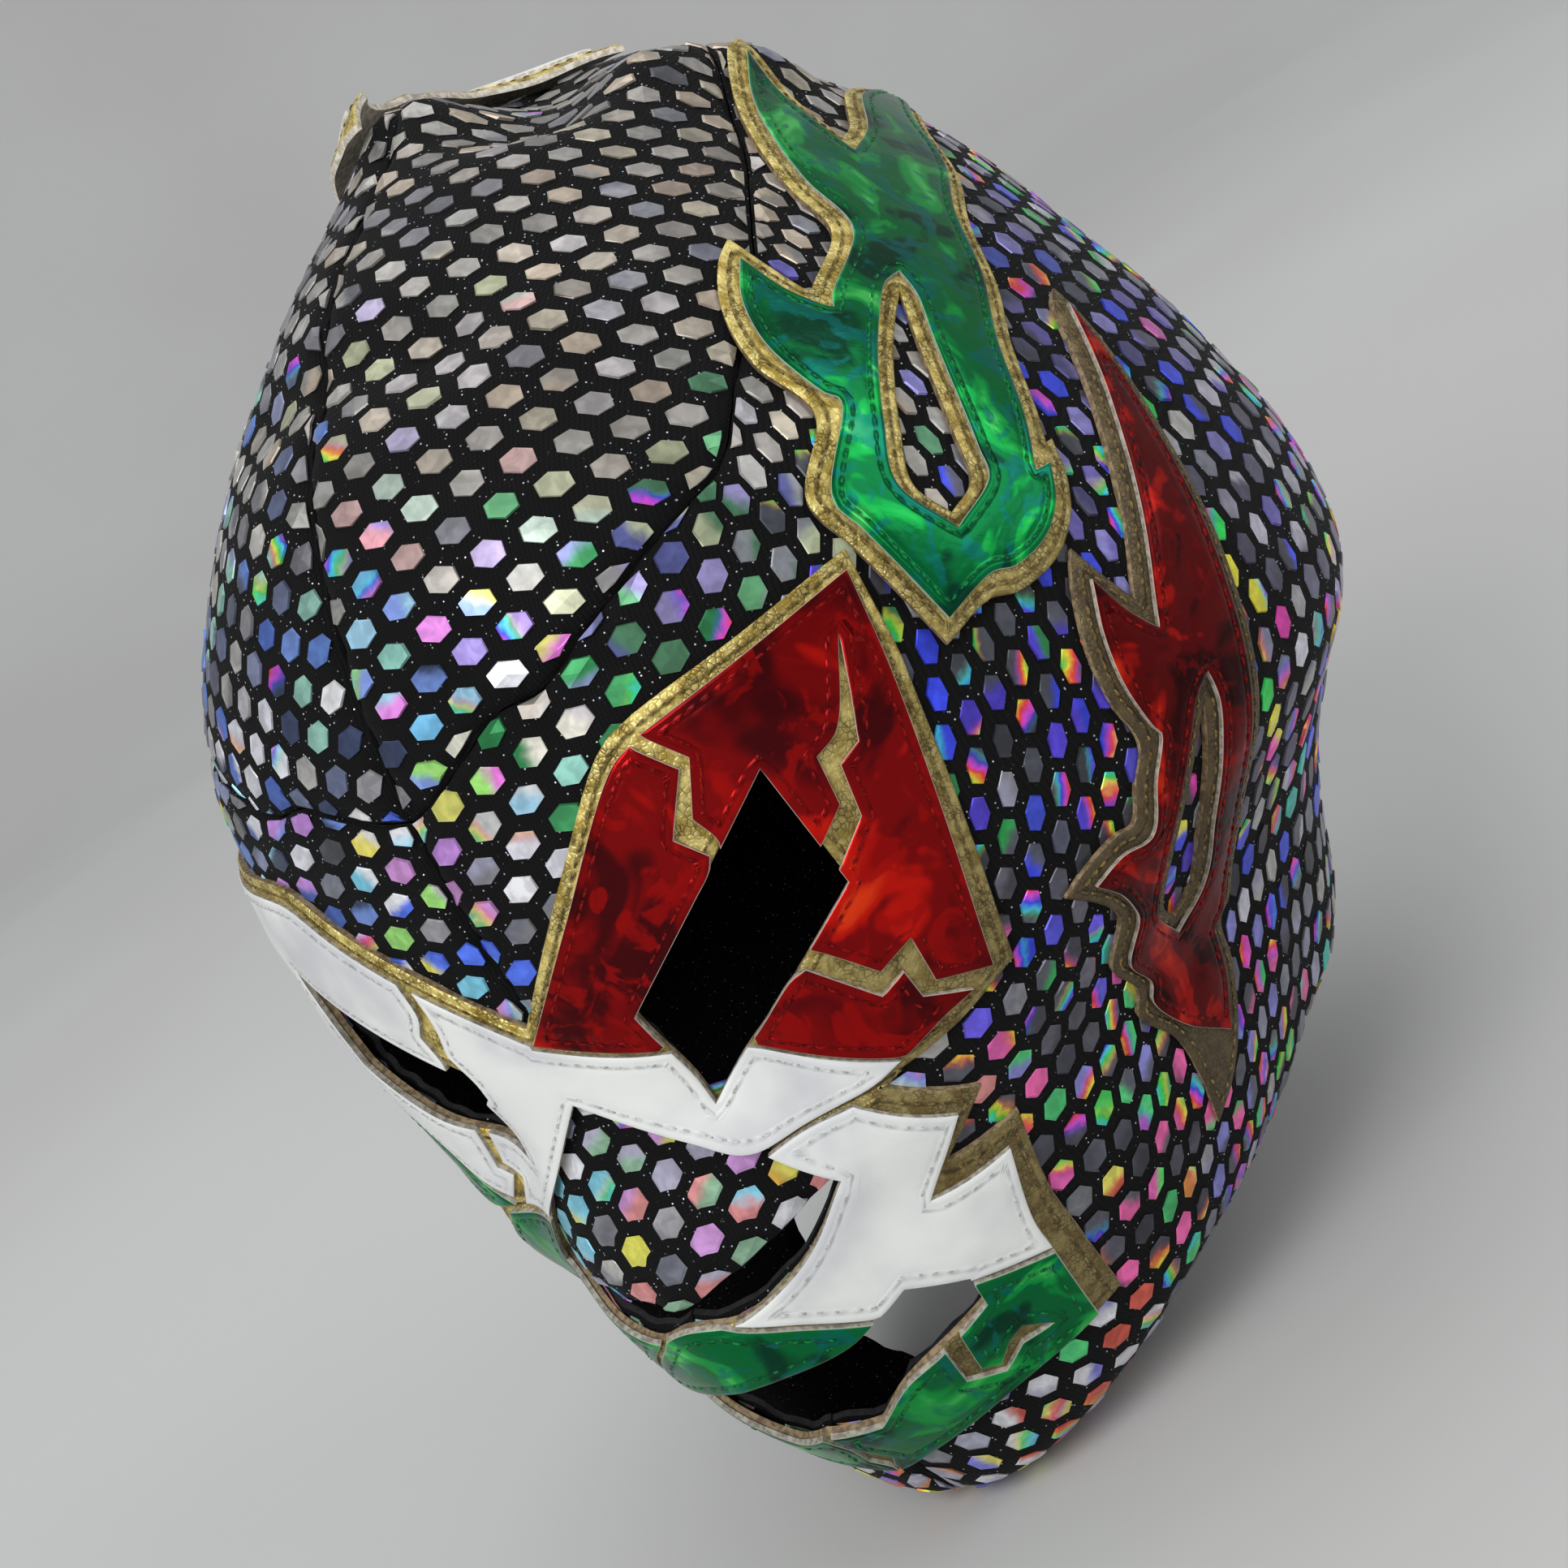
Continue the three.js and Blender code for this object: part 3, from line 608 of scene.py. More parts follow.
@dataclass(frozen=True)
class Cut:
    """How one kind of sheet is cut and how it lies, in millimetres above the form."""

    inner: float
    outer: float
    rings: tuple[float, ...]
    step: float
    spacing: float
    corner: float
    rim_drop: float
    rim_reach: float
    groove_inset: float = 1.5
    groove_depth: float = 0.0
    swell: float = 0.0
    swell_length: float = 20.0
    roll: float = 0.0
    roll_reach: float = 1.6


KNIT_CUT = Cut(
    0.0, KNIT_THICKNESS, (0.5, 1.1, 1.9, 3.0), 2.2, 1.8, 35, 0.35, 0.9,
    swell=0.35, swell_length=26, roll=0.9,
)
LEATHER_CUT = Cut(1.25, 2.65, (0.3, 0.8, 1.4, 2.2), 1.6, 1.1, 38, 0.3, 0.5, swell=0.12, swell_length=9)
FILM_CUT = Cut(
    2.45, 3.55, (0.25, 0.8, 1.2, 1.6, 2.1, 3.0), 1.3, 1.0, 38, 0.25, 0.5,
    groove_depth=0.28, swell=0.22, swell_length=17,
)
SCROLL_LEATHER_CUT = Cut(
    1.25, 2.65, (0.3, 0.8, 1.4, 2.2), 1.6, 1.0, 80, 0.3, 0.5, swell=0.1, swell_length=9,
)
SCROLL_FILM_CUT = Cut(
    2.45, 3.6, (0.25, 0.8, 1.2, 1.6, 2.1, 3.0), 1.3, 0.9, 80, 0.3, 0.6,
    groove_depth=0.25, swell=0.18, swell_length=13,
)
TONGUE_CUT = Cut(-1.6, -0.4, (0.5, 1.1, 1.9), 2.2, 1.8, 35, 0.3, 0.9, swell=0.1)
LACE_CUT = Cut(2.35, 3.2, (0.3, 0.8), 1.2, 0.9, 25, 0.3, 0.6)
UNDER_LACE_CUT = Cut(1.5, 2.3, (0.3, 0.8), 1.2, 0.9, 25, 0.3, 0.6)


@dataclass(frozen=True)
class Lift:
    """Where a sheet stands off the form, as a smooth mound about one direction."""

    azimuth: float = -60
    elevation: float = 86
    spread: float = 22
    height: float = 3.5

    def at(self, towards: np.ndarray) -> np.ndarray:
        """How far the sheet is lifted.

        Args:
            towards: Unit directions.

        Returns:
            Millimetres outwards at each direction.
        """
        middle = direction(self.azimuth, self.elevation)
        away = np.degrees(np.arccos(np.clip(towards @ middle, -1, 1))) / self.spread
        return self.height * np.exp(-(away**2))


class LaidSheet:
    """One sheet cut to a node's outline and laid on the form."""

    calm_reach: float = 9.0
    groove_half_width: float = 0.45
    hard_fold: float = 48.0

    def __init__(
        self, form: HeadForm, node: str, cut: Cut, seed: int,
        lift: Lift | None = None, mirrored: bool = False,
    ) -> None:
        """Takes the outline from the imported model.

        Args:
            form: What the sheet lies on.
            node: Name of the CAD node that the sheet stands for.
            cut: How the sheet is cut.
            seed: Seed of its waves.
            lift: Where it stands off the form, if it does.
            mirrored: Whether the node's outline is mirrored.
        """
        self.form, self.cut, self.lift = form, cut, lift
        shape = NodeShape(node, form)
        self.map = shape.map
        self.outline = shape.outline(cut.corner, cut.spacing, mirrored)
        self.swell = Swell(cut.swell_length, seed)

    def shift(self, towards: np.ndarray, distance: np.ndarray, arc: np.ndarray) -> np.ndarray:
        """How far both skins move out at each place.

        Args:
            towards: Unit directions.
            distance: Millimetres from the sheet's edge.
            arc: Millimetres along the edge.

        Returns:
            Millimetres outwards.
        """
        cut = self.cut
        moved = cut.swell * self.swell.height(towards) * ease(distance / self.calm_reach)
        pucker = 1 + 0.3 * np.sin(arc * 0.9) + 0.2 * np.sin(arc * 0.37 + 1)
        moved -= cut.roll * pucker * np.exp(-((distance / cut.roll_reach) ** 2))
        if self.lift:
            moved += self.lift.at(towards)
        return moved

    def top(self, towards: np.ndarray, distance: np.ndarray, arc: np.ndarray) -> np.ndarray:
        """Height of the outer skin above the form.

        Args:
            towards: Unit directions.
            distance: Millimetres from the sheet's edge.
            arc: Millimetres along the edge.

        Returns:
            Millimetres above the form.
        """
        cut = self.cut
        rim = cut.rim_drop * (1 - np.clip(distance / cut.rim_reach, 0, 1)) ** 2
        pull = 0.7 + 0.3 * np.cos(2 * np.pi * arc / STITCH_PITCH)
        off = (distance - cut.groove_inset) / self.groove_half_width
        groove = cut.groove_depth * pull * np.exp(-(off**2))
        return cut.outer + self.shift(towards, distance, arc) - rim - groove

    def _ringed(self, bm: bmesh.types.BMesh) -> list[bmesh.types.BMEdge]:
        """Makes the outline and the narrow rings inside it.

        Args:
            bm: Empty mesh that gets the rings.

        Returns:
            Edges of the innermost ring.
        """
        number = bm.verts.layers.int.new("number")
        outline = self.outline
        edges = []
        first = 0
        for loop in outline.loops:
            verts = [bm.verts.new((x, y, 0)) for x, y in loop]
            for i, vert in enumerate(verts):
                vert[number] = first + i
            edges += [bm.edges.new((verts[i - 1], verts[i])) for i in range(len(verts))]
            first += len(verts)
        rings = self.cut.rings
        widths = outline.widths(rings[-1])
        for reach in rings:
            made = bmesh.ops.extrude_edge_only(bm, edges=edges)["geom"]
            verts = {item for item in made if isinstance(item, bmesh.types.BMVert)}
            for vert in verts:
                i = vert[number]
                x, y = outline.points[i] + outline.inward[i] * widths[i] * reach / rings[-1]
                vert.co = (x, y, 0)
            edges = [
                item for item in made
                if isinstance(item, bmesh.types.BMEdge) and all(vert in verts for vert in item.verts)
            ]
        return edges

    def _filled(self, bm: bmesh.types.BMesh, edges: list[bmesh.types.BMEdge]) -> None:
        """Fills the space inside the rings and cuts it into small squares.

        Args:
            bm: Mesh with the rings.
            edges: Edges of the innermost ring.
        """
        made = bmesh.ops.triangle_fill(bm, use_beauty=True, edges=edges, normal=(0, 0, 1))["geom"]
        active = [item for item in made if isinstance(item, bmesh.types.BMFace)]
        filling = set(active)
        crossings = {edge for face in active for edge in face.edges}
        for edge in crossings:
            edge.seam = len(edge.link_faces) == 2 and all(face in filling for face in edge.link_faces)
        step = self.cut.step
        everything = active
        for axis in range(2):
            active, done = everything, []
            reach = [vert.co[axis] for face in active for vert in face.verts]
            line = (math.floor(min(reach) / step) + 0.5) * step
            while line < max(reach):
                crossed = [face for face in active if any(v.co[axis] > line for v in face.verts)]
                crossed_set = set(crossed)
                done += [face for face in active if face not in crossed_set]
                parts = {item for face in crossed for item in (*face.verts, *face.edges)}
                plane = [float(axis == 0), float(axis == 1), 0]
                result = bmesh.ops.bisect_plane(
                    bm, geom=[*crossed, *parts], dist=1e-4,
                    plane_co=[line * way for way in plane], plane_no=plane,
                )
                active = [item for item in result["geom"] if isinstance(item, bmesh.types.BMFace)]
                line += step
            everything = done + active
        seams = [edge for edge in bm.edges if edge.seam]
        bmesh.ops.dissolve_edges(bm, edges=seams, use_verts=True)

    def build(self, name: str, finishes: list[bpy.types.Material]) -> bpy.types.Object:
        """Makes the sheet's mesh.

        Args:
            name: Name of the piece.
            finishes: Materials of the skins and of the cut edge.

        Returns:
            The piece, at the origin.
        """
        bm = bmesh.new()
        self._filled(bm, self._ringed(bm))
        for edge in bm.edges:
            edge.seam = False
        flat_parts = [*bm.verts, *bm.edges, *bm.faces]
        raised = bmesh.ops.extrude_face_region(bm, geom=flat_parts, use_keep_orig=True)["geom"]
        upper = {item for item in raised if isinstance(item, bmesh.types.BMVert)}
        verts = list(bm.verts)
        flat = np.array([vert.co[:2] for vert in verts])
        is_upper = np.array([vert in upper for vert in verts])
        towards = self.map.towards(flat)
        distance, arc, _ = self.outline.nearest(flat)
        under = self.cut.inner + self.shift(towards, distance, arc)
        height = np.where(is_upper, self.top(towards, distance, arc), under)
        places = self.form.place(towards, height) * METRES + self.form.centre
        for vert, place in zip(verts, places):
            vert.co = place
        bmesh.ops.recalc_face_normals(bm, faces=bm.faces[:])
        for face in bm.faces:
            face.smooth = True
            ups = sum(vert in upper for vert in face.verts)
            back = ups == 0 and self.lift is None
            face.material_index = 0 if ups == len(face.verts) or back else 1
        for edge in bm.edges:
            edge.smooth = edge.calc_face_angle(0) < math.radians(self.hard_fold)
        mesh = bpy.data.meshes.new(name)
        bm.to_mesh(mesh)
        bm.free()
        self._mark_edge(mesh, arc, distance)
        for finish in finishes:
            mesh.materials.append(finish)
        piece = bpy.data.objects.new(name, mesh)
        bpy.context.scene.collection.objects.link(piece)
        return piece

    def _mark_edge(self, mesh: bpy.types.Mesh, arc: np.ndarray, distance: np.ndarray) -> None:
        """Writes the length along the edge and the distance from it, in millimetres, as a UV map.

        Args:
            mesh: The sheet's mesh.
            arc: Length along the edge at each vertex.
            distance: Distance from the edge at each vertex.
        """
        corners = np.zeros(len(mesh.loops), dtype=np.int32)
        mesh.loops.foreach_get("vertex_index", corners)
        starts = np.zeros(len(mesh.polygons), dtype=np.int32)
        totals = np.zeros(len(mesh.polygons), dtype=np.int32)
        mesh.polygons.foreach_get("loop_start", starts)
        mesh.polygons.foreach_get("loop_total", totals)
        along = arc[corners]
        half = self.outline.arcs.max() / 2
        highest = np.repeat(np.maximum.reduceat(along, starts), totals)
        wraps = highest - along > half
        along = np.where(wraps, highest, along)
        layer = mesh.uv_layers.new(name="edge")
        values = np.stack([along, distance[corners]], axis=-1)
        layer.data.foreach_set("uv", values.astype(np.float32).ravel())


class Repeats:
    """A small shape that is repeated many times in one joined mesh."""

    def __init__(self, bm: bmesh.types.BMesh) -> None:
        """Keeps the shape and frees its mesh.

        Args:
            bm: Mesh of one shape.
        """
        bmesh.ops.recalc_face_normals(bm, faces=bm.faces[:])
        bm.verts.index_update()
        self.verts = np.array([vert.co[:] for vert in bm.verts])
        self.faces = [[vert.index for vert in face.verts] for face in bm.faces]
        bm.free()

    def spread(self, origins: np.ndarray, frames: np.ndarray, sizes: np.ndarray) -> np.ndarray:
        """Vertices of every copy.

        Args:
            origins: Where the copies are, in millimetres.
            frames: Right, up and outward of each copy as rows.
            sizes: Size of each copy along those.

        Returns:
            Places by copy and vertex.
        """
        return origins[:, None] + np.einsum("mk,nk,nkj->nmj", self.verts, sizes, frames)

    def joined(
        self, name: str, places: np.ndarray, form: HeadForm, finish: bpy.types.Material
    ) -> bpy.types.Object:
        """All copies as one piece.

        Args:
            name: Name of the piece.
            places: Places by copy and vertex, in millimetres from the head's centre.
            form: The form that gives the centre.
            finish: The piece's material.

        Returns:
            The piece, at the origin.
        """
        count, size = places.shape[:2]
        starts = range(0, count * size, size)
        faces = [[first + i for i in face] for first in starts for face in self.faces]
        mesh = bpy.data.meshes.new(name)
        mesh.from_pydata((places.reshape(-1, 3) * METRES + form.centre).tolist(), [], faces)
        mesh.materials.append(finish)
        piece = bpy.data.objects.new(name, mesh)
        bpy.context.scene.collection.objects.link(piece)
        return piece


def frames_from(out: np.ndarray, up: np.ndarray) -> np.ndarray:
    """Right, up and outward rows from outward and rough up directions."""
    right = unit(np.cross(up, out))
    return np.stack([right, np.cross(out, right), out], axis=1)


def turned(frames: np.ndarray, angles: np.ndarray) -> np.ndarray:
    """Frames turned about their outward row.

    Args:
        frames: Right, up and outward rows.
        angles: Radians for each frame.

    Returns:
        The turned frames.
    """
    cos, sin = np.cos(angles)[:, None], np.sin(angles)[:, None]
    right, up, out = frames[:, 0], frames[:, 1], frames[:, 2]
    return np.stack([cos * right + sin * up, cos * up - sin * right, out], axis=1)


# Foil dots


class Grain(Enum):
    """Which way the columns of dots run on a panel."""

    UPRIGHT = "up the head"
    FORE_AND_AFT = "from the brow over the top"


@dataclass(frozen=True)
class DotSize:
    """Spacing and size of the dots where the cloth is stretched one way, in millimetres.

    Shear is how far each column is moved up against the one before, as a share of the spacing.
    """

    column: float
    pitch: float
    width: float
    height: float
    shear: float = 0.0

    def as_row(self) -> np.ndarray:
        """The five values in their order."""
        return np.array([self.column, self.pitch, self.width, self.height, self.shear])


CROWN_DOTS = DotSize(6.1, 6.5, 5.8, 3.7, 0.24)
CROWN_SIDE_DOTS = DotSize(4.9, 6.9, 4.1, 4.8, 0.0)
BROW_DOTS = DotSize(5.8, 6.9, 5.45, 4.1, 0.28)
SIDE_DOTS = DotSize(3.9, 6.9, 3.15, 4.9, -0.23)
FAR_SIDE_DOTS = DotSize(6.3, 7.2, 4.8, 5.1, -0.08)
NAPE_DOTS = DotSize(5.6, 6.7, 4.6, 4.8)


@dataclass(frozen=True)
class DotLayout:
    """How the dots' columns lie on a panel: their way, lean in degrees, and side of the head."""

    grain: Grain
    lean: float
    side: int


@dataclass(frozen=True)
class Glint:
    """Colours of painted reflection that the dots take about one direction, from white highlights and
    rainbow hues to the dark greys of mirrored dark surroundings.

    Split is the share of dots with two colours, rainbow the share that sweep through the hues,
    and purity how strong those hues are.
    """

    azimuth: float
    elevation: float
    spread: float
    tones: tuple[str, ...]
    split: float = 0.4
    rainbow: float = 0.05
    purity: float = 0.9


# Painted reflections of the dots by direction from the head's centre: highlights and hues where they
# would catch the lamps, dark greys where they would mirror dark surroundings.
PLAIN_SHARE = 0.06
PLAIN_GLINT = Glint(0, 0, 0, ("a09fa4", "86878e", "b0aeab", "777985", "9595aa"), 0.3, 0.05)
GLINTS = (
    Glint(54, 62, 22, ("b3a594", "a59688", "9a938b", "b0a897", "a19c97", "8f8c88"), 0.1, 0.0),
    Glint(-30, 66, 26, ("737278", "86858a", "94938f", "a5a29c", "5a5b61", "aba8a3"), 0.2, 0.0),
    Glint(25, 50, 13, ("b0a699", "a8a3a4", "aea5c2", "b0b394", "a19c96"), 0.15, 0.02),
    Glint(21, 40, 10, ("ac9cc4", "b7b99c", "9983c6", "9caba0", "c6a6a3", "a9a6a8"), 0.3, 0.05),
    Glint(
        13, 31, 10, ("7cc6f2", "ee80e2", "eeea7e", "a6ec7c", "eeaab6", "b8a4f2", "a2e2d4", "d9d8e2"),
        0.5, 0.2, 0.6,
    ),
    Glint(
        3, 26, 10, ("a8d8f2", "e890e6", "d6d6d6", "ece070", "8ea8f2", "e4e4e6", "a4e67e"),
        0.55, 0.25, 0.65,
    ),
    Glint(-12, 27, 10, ("7391d6", "dedee6", "c48fde", "4e6cbc", "9cd4e8", "38425f"), 0.6, 0.2, 0.7),
    Glint(-20, 42, 14, ("5a6280", "6f7896", "5c7cc0", "4b4f60", "8a90b2", "94c4b6"), 0.4, 0.08),
    Glint(-3, 12, 8, ("83d2ec", "ececf2", "e8e05f", "f2f2f6", "5172e8", "dc9ee2"), 0.6, 0.25, 0.7),
    Glint(35, 26, 10, ("6fb783", "9289ba", "4f8060", "898d93", "5e639f", "b7bf9e"), 0.5, 0.15),
    Glint(20, 21, 8, ("45a064", "a8a8ae", "288049", "8084b4", "c9c2c8", "e2e0d2"), 0.6, 0.15),
    Glint(47, 3, 16, ("4a4c54", "3d3e45", "3746dc", "50525c", "2d7a49", "56586a", "5242c8"), 0.55, 0.45),
    Glint(45, -10, 12, ("3e4047", "4352d2", "4a4a52", "524fc4", "34a657", "5a5a66"), 0.5, 0.4),
    Glint(80, 19, 14, ("6860a8", "4c4a78", "827ebc", "444452", "3c4ddc", "5d5b70"), 0.45, 0.18),
    Glint(70, -6, 12, ("eee64c", "38da62", "ee48ba", "4654ec", "43434c", "55555f"), 0.5, 0.45),
    Glint(88, -22, 13, ("5f5e6c", "4556dc", "c9c9d4", "33333c", "46c4b4", "53516a"), 0.5, 0.45),
    Glint(89, -2, 13, ("7b7890", "646277", "9693a6", "514f62", "b3b1c0"), 0.4, 0.2, 0.7),
    Glint(40, -25, 11, ("56565f", "52da66", "ee6aba", "7062ec", "4a4a54", "666470"), 0.5, 0.5),
    Glint(42, -43, 13, ("62626e", "ee6aac", "56d080", "44444e", "8686cc", "555560"), 0.5, 0.4),
    Glint(
        6, -17, 14, ("dcdce2", "cc98d6", "e4e062", "83cce2", "90b89a", "d88d8d", "a6a4b8"),
        0.6, 0.3, 0.6,
    ),
    Glint(8, -52, 12, ("e6944e", "ece46c", "b4b4c6", "d65e4e", "8080d6", "dedee4"), 0.6, 0.3, 0.8),
    Glint(92, 34, 12, ("4a57ac", "757ca0", "565968", "6a6494", "444654", "9694a2"), 0.4, 0.15),
    Glint(135, 5, 24, ("5c5e6a", "9291a0", "4455d6", "7068bc", "46ac64", "bcbac4", "c861ac"), 0.5, 0.3),
    Glint(178, -15, 28, ("6c6c7a", "858ac8", "58b474", "c4c3cc", "d274b0", "54555f", "e2da66"), 0.5, 0.3),
    Glint(-135, 5, 26, ("5c5e6a", "9291a0", "4e60d0", "5cbcc8", "46a860", "bcbac4", "9c6fd0"), 0.5, 0.3),
    Glint(-92, -5, 24, ("62646f", "4a58d0", "c9c9d2", "cf68b2", "4fb870", "e4dc62", "7d76c0"), 0.5, 0.35),
    Glint(-55, 5, 16, ("7391d6", "54555e", "dadae2", "c48fde", "4e6cbc", "8cd2e4", "5fbf7c"), 0.55, 0.35),
)


def linear(tone: str) -> np.ndarray:
    """Linear red, green and blue of a six-digit tone."""
    shares = np.array([int(tone[i : i + 2], 16) / 255 for i in (0, 2, 4)])
    return np.where(shares <= 0.04045, shares / 12.92, ((shares + 0.055) / 1.055) ** 2.4)


class FoilDots:
    """Hexagons of holographic foil bonded to one knit panel."""

    thickness: float = 0.14
    edge_margin: float = 0.5
    overhang: float = 1.3
    hidden_depth: float = 4.5
    upturn: float = 0.3
    upturn_reach: float = 2.5
    tilt: float = 0.035
    rounds: int = 260
    pull: float = 0.12
    drag: float = 0.86
    spare_reach: float = 15.0
    batch: int = 2000
    crown_radii: tuple[float, float] = (104.0, 108.0)
    crown_start: tuple[float, float] = (0.3, 0.8)
    side_radii: tuple[float, float] = (94.0, 96.0)
    side_reach: float = 185.0
    cell_height: float = 0.866
    facing: float = -0.2
    cover_facing: float = 0.3
    turn: float = 0.04
    size_spread: float = 0.03
    brightness: tuple[float, float] = (0.8, 1.15)
    partner_brightness: tuple[float, float] = (0.75, 1.25)
    blend_middle: tuple[float, float] = (0.5, 0.2)
    hue_spans: tuple[float, float] = (0.25, 1.1)

    def __init__(self, form: HeadForm, sheet: LaidSheet, layout: DotLayout, seed: int) -> None:
        """Keeps the panel and draws its random numbers from one seed.

        Args:
            form: What the panel lies on.
            sheet: The panel.
            layout: Which way the columns run.
            seed: Seed of the small irregularities.
        """
        self.form, self.sheet, self.layout = form, sheet, layout
        self.chance = np.random.default_rng(seed)

    def size_at(self, towards: np.ndarray) -> np.ndarray:
        """Spacing and size of the dots at each direction.

        Args:
            towards: Unit directions.

        Returns:
            Column, pitch, width, height and shear in each row.
        """
        azimuth = np.degrees(np.arctan2(towards[:, 0], -towards[:, 1]))[:, None]
        if self.layout.grain is Grain.FORE_AND_AFT:
            stages = ((CROWN_DOTS, 0, 1), (CROWN_SIDE_DOTS, 2, -12))
            azimuth = np.degrees(np.arcsin(towards[:, :1]))
        else:
            stages = (
                (BROW_DOTS, 0, 1), (SIDE_DOTS, 22, 48), (FAR_SIDE_DOTS, 64, 96), (NAPE_DOTS, 115, 145),
            )
            azimuth = np.abs(azimuth)
        rows = np.tile(stages[0][0].as_row(), (len(towards), 1))
        for dots, start, end in stages[1:]:
            rows += (dots.as_row() - rows) * ease((azimuth - start) / (end - start))
        if self.layout.grain is Grain.UPRIGHT:
            rows[:, 4] *= self.layout.side
        return rows

    def first_places(self) -> tuple[np.ndarray, np.ndarray]:
        """Starting lattice before it is relaxed.

        Returns:
            Unit directions and the column and row of each.
        """
        lean = math.radians(self.layout.lean)
        if self.layout.grain is Grain.FORE_AND_AFT:
            column, row = np.meshgrid(np.arange(-24, 24), np.arange(-30, 31), indexing="ij")
            across = column * CROWN_DOTS.column / self.crown_radii[0]
            up = (row + 0.5 * (column % 2)) * CROWN_DOTS.pitch / self.crown_radii[1]
            first_aside, first_along = self.crown_start
            aside = first_aside * self.layout.side + math.cos(lean) * across + math.sin(lean) * up
            along = first_along + math.cos(lean) * up - math.sin(lean) * across
            towards = np.stack(
                [np.sin(aside), -np.cos(aside) * np.cos(along), np.cos(aside) * np.sin(along)], axis=-1
            )
        else:
            middle = self.sheet.map
            edges = [0.0]
            for way in (1, -1):
                line = [0.0]
                while abs(line[-1]) < self.side_reach:
                    here = middle.towards(np.array([[line[-1], 0.0]]))
                    step = self.size_at(here)[0, 0] * MM_PER_RADIAN / self.side_radii[0]
                    line.append(line[-1] + way * step)
                edges = line[:0:-1] + edges if way < 0 else edges + line[1:]
            column, row = np.meshgrid(np.arange(len(edges)), np.arange(-32, 33), indexing="ij")
            across = np.array(edges)[column]
            up = (row + 0.5 * (column % 2)) * SIDE_DOTS.pitch * MM_PER_RADIAN / self.side_radii[1]
            turned_across = math.cos(lean) * across + math.sin(lean) * up
            turned_up = math.cos(lean) * up - math.sin(lean) * across
            flat = np.stack([turned_across, turned_up], axis=-1)
            towards = middle.towards(flat.reshape(-1, 2)).reshape(flat.shape[:2] + (3,))
        return towards.reshape(-1, 3), np.stack([column.ravel(), row.ravel()], axis=-1)

    def relaxed(self) -> tuple[np.ndarray, np.ndarray, np.ndarray]:
        """Dot places after the lattice has settled on the form like evenly stretched cloth.

        Returns:
            Unit directions, and the ways along the row and up the column at each.
        """
        towards, cells = self.first_places()
        near = towards @ np.array(self.sheet.map.centre) > self.facing
        towards, cells = towards[near], cells[near]
        flat = self.sheet.map.flat(towards)
        near = self.holds(flat) | (self.sheet.outline.nearest(flat)[0] < self.spare_reach)
        towards, cells = towards[near], cells[near]
        where = {tuple(cell): i for i, cell in enumerate(cells.tolist())}
        pairs = []
        above = np.arange(len(cells))
        below = above.copy()
        for (column, row), i in where.items():
            lower = row - 1 + column % 2
            beside = ((column, row + 1), 0), ((column + 1, lower), -1), ((column + 1, lower + 1), 1)
            for other, rise in beside:
                j = where.get(other)
                if j is not None:
                    pairs.append((i, j, rise))
                    if rise == 0:
                        above[i], below[j] = j, i
        a, b, rise = np.array(pairs).T
        slanted = rise != 0
        places = self.form.place(towards, KNIT_THICKNESS)
        speed = np.zeros_like(places)
        for _ in range(self.rounds):
            sizes = self.size_at(towards)
            column, pitch, shear = sizes[a, 0], sizes[a, 1], sizes[a, 4]
            rest = np.where(slanted, np.hypot(column, rise * pitch / 2 + shear * column), pitch)
            run = places[b] - places[a]
            length = np.linalg.norm(run, axis=1)
            pull = run * ((length - rest) / length * self.pull)[:, None]
            speed *= self.drag
            np.add.at(speed, a, pull)
            np.add.at(speed, b, -pull)
            towards = unit(places + speed)
            places = self.form.place(towards, KNIT_THICKNESS)
        aside = np.zeros_like(places)
        np.add.at(aside, a[slanted], run[slanted])
        np.add.at(aside, b[slanted], run[slanted])
        return towards, unit(aside), unit(places[above] - places[below])

    def holds(self, flat: np.ndarray) -> np.ndarray:
        """Whether each place is on the panel, worked out a few at a time."""
        parts = np.array_split(flat, 1 + len(flat) // self.batch)
        return np.concatenate([self.sheet.outline.holds(part) for part in parts])

    def shown(self, towards: np.ndarray, covers: list[LaidSheet]) -> np.ndarray:
        """Whether each dot is on the panel and not deep under an applique.

        Args:
            towards: Directions of the dots.
            covers: Sheets that lie on the panel.

        Returns:
            True where the dot is made.
        """
        places = self.sheet.map.flat(towards)
        keep = self.holds(places) | (self.sheet.outline.nearest(places)[0] < self.overhang)
        for cover in covers:
            here = towards @ np.array(cover.map.centre) > self.cover_facing
            flat = cover.map.flat(towards)
            inside = np.zeros(len(towards), bool)
            inside[here] = cover.outline.holds(flat[here])
            deep = np.zeros(len(towards), bool)
            deep[inside] = cover.outline.nearest(flat[inside])[0] > self.hidden_depth
            keep &= ~deep
        return keep

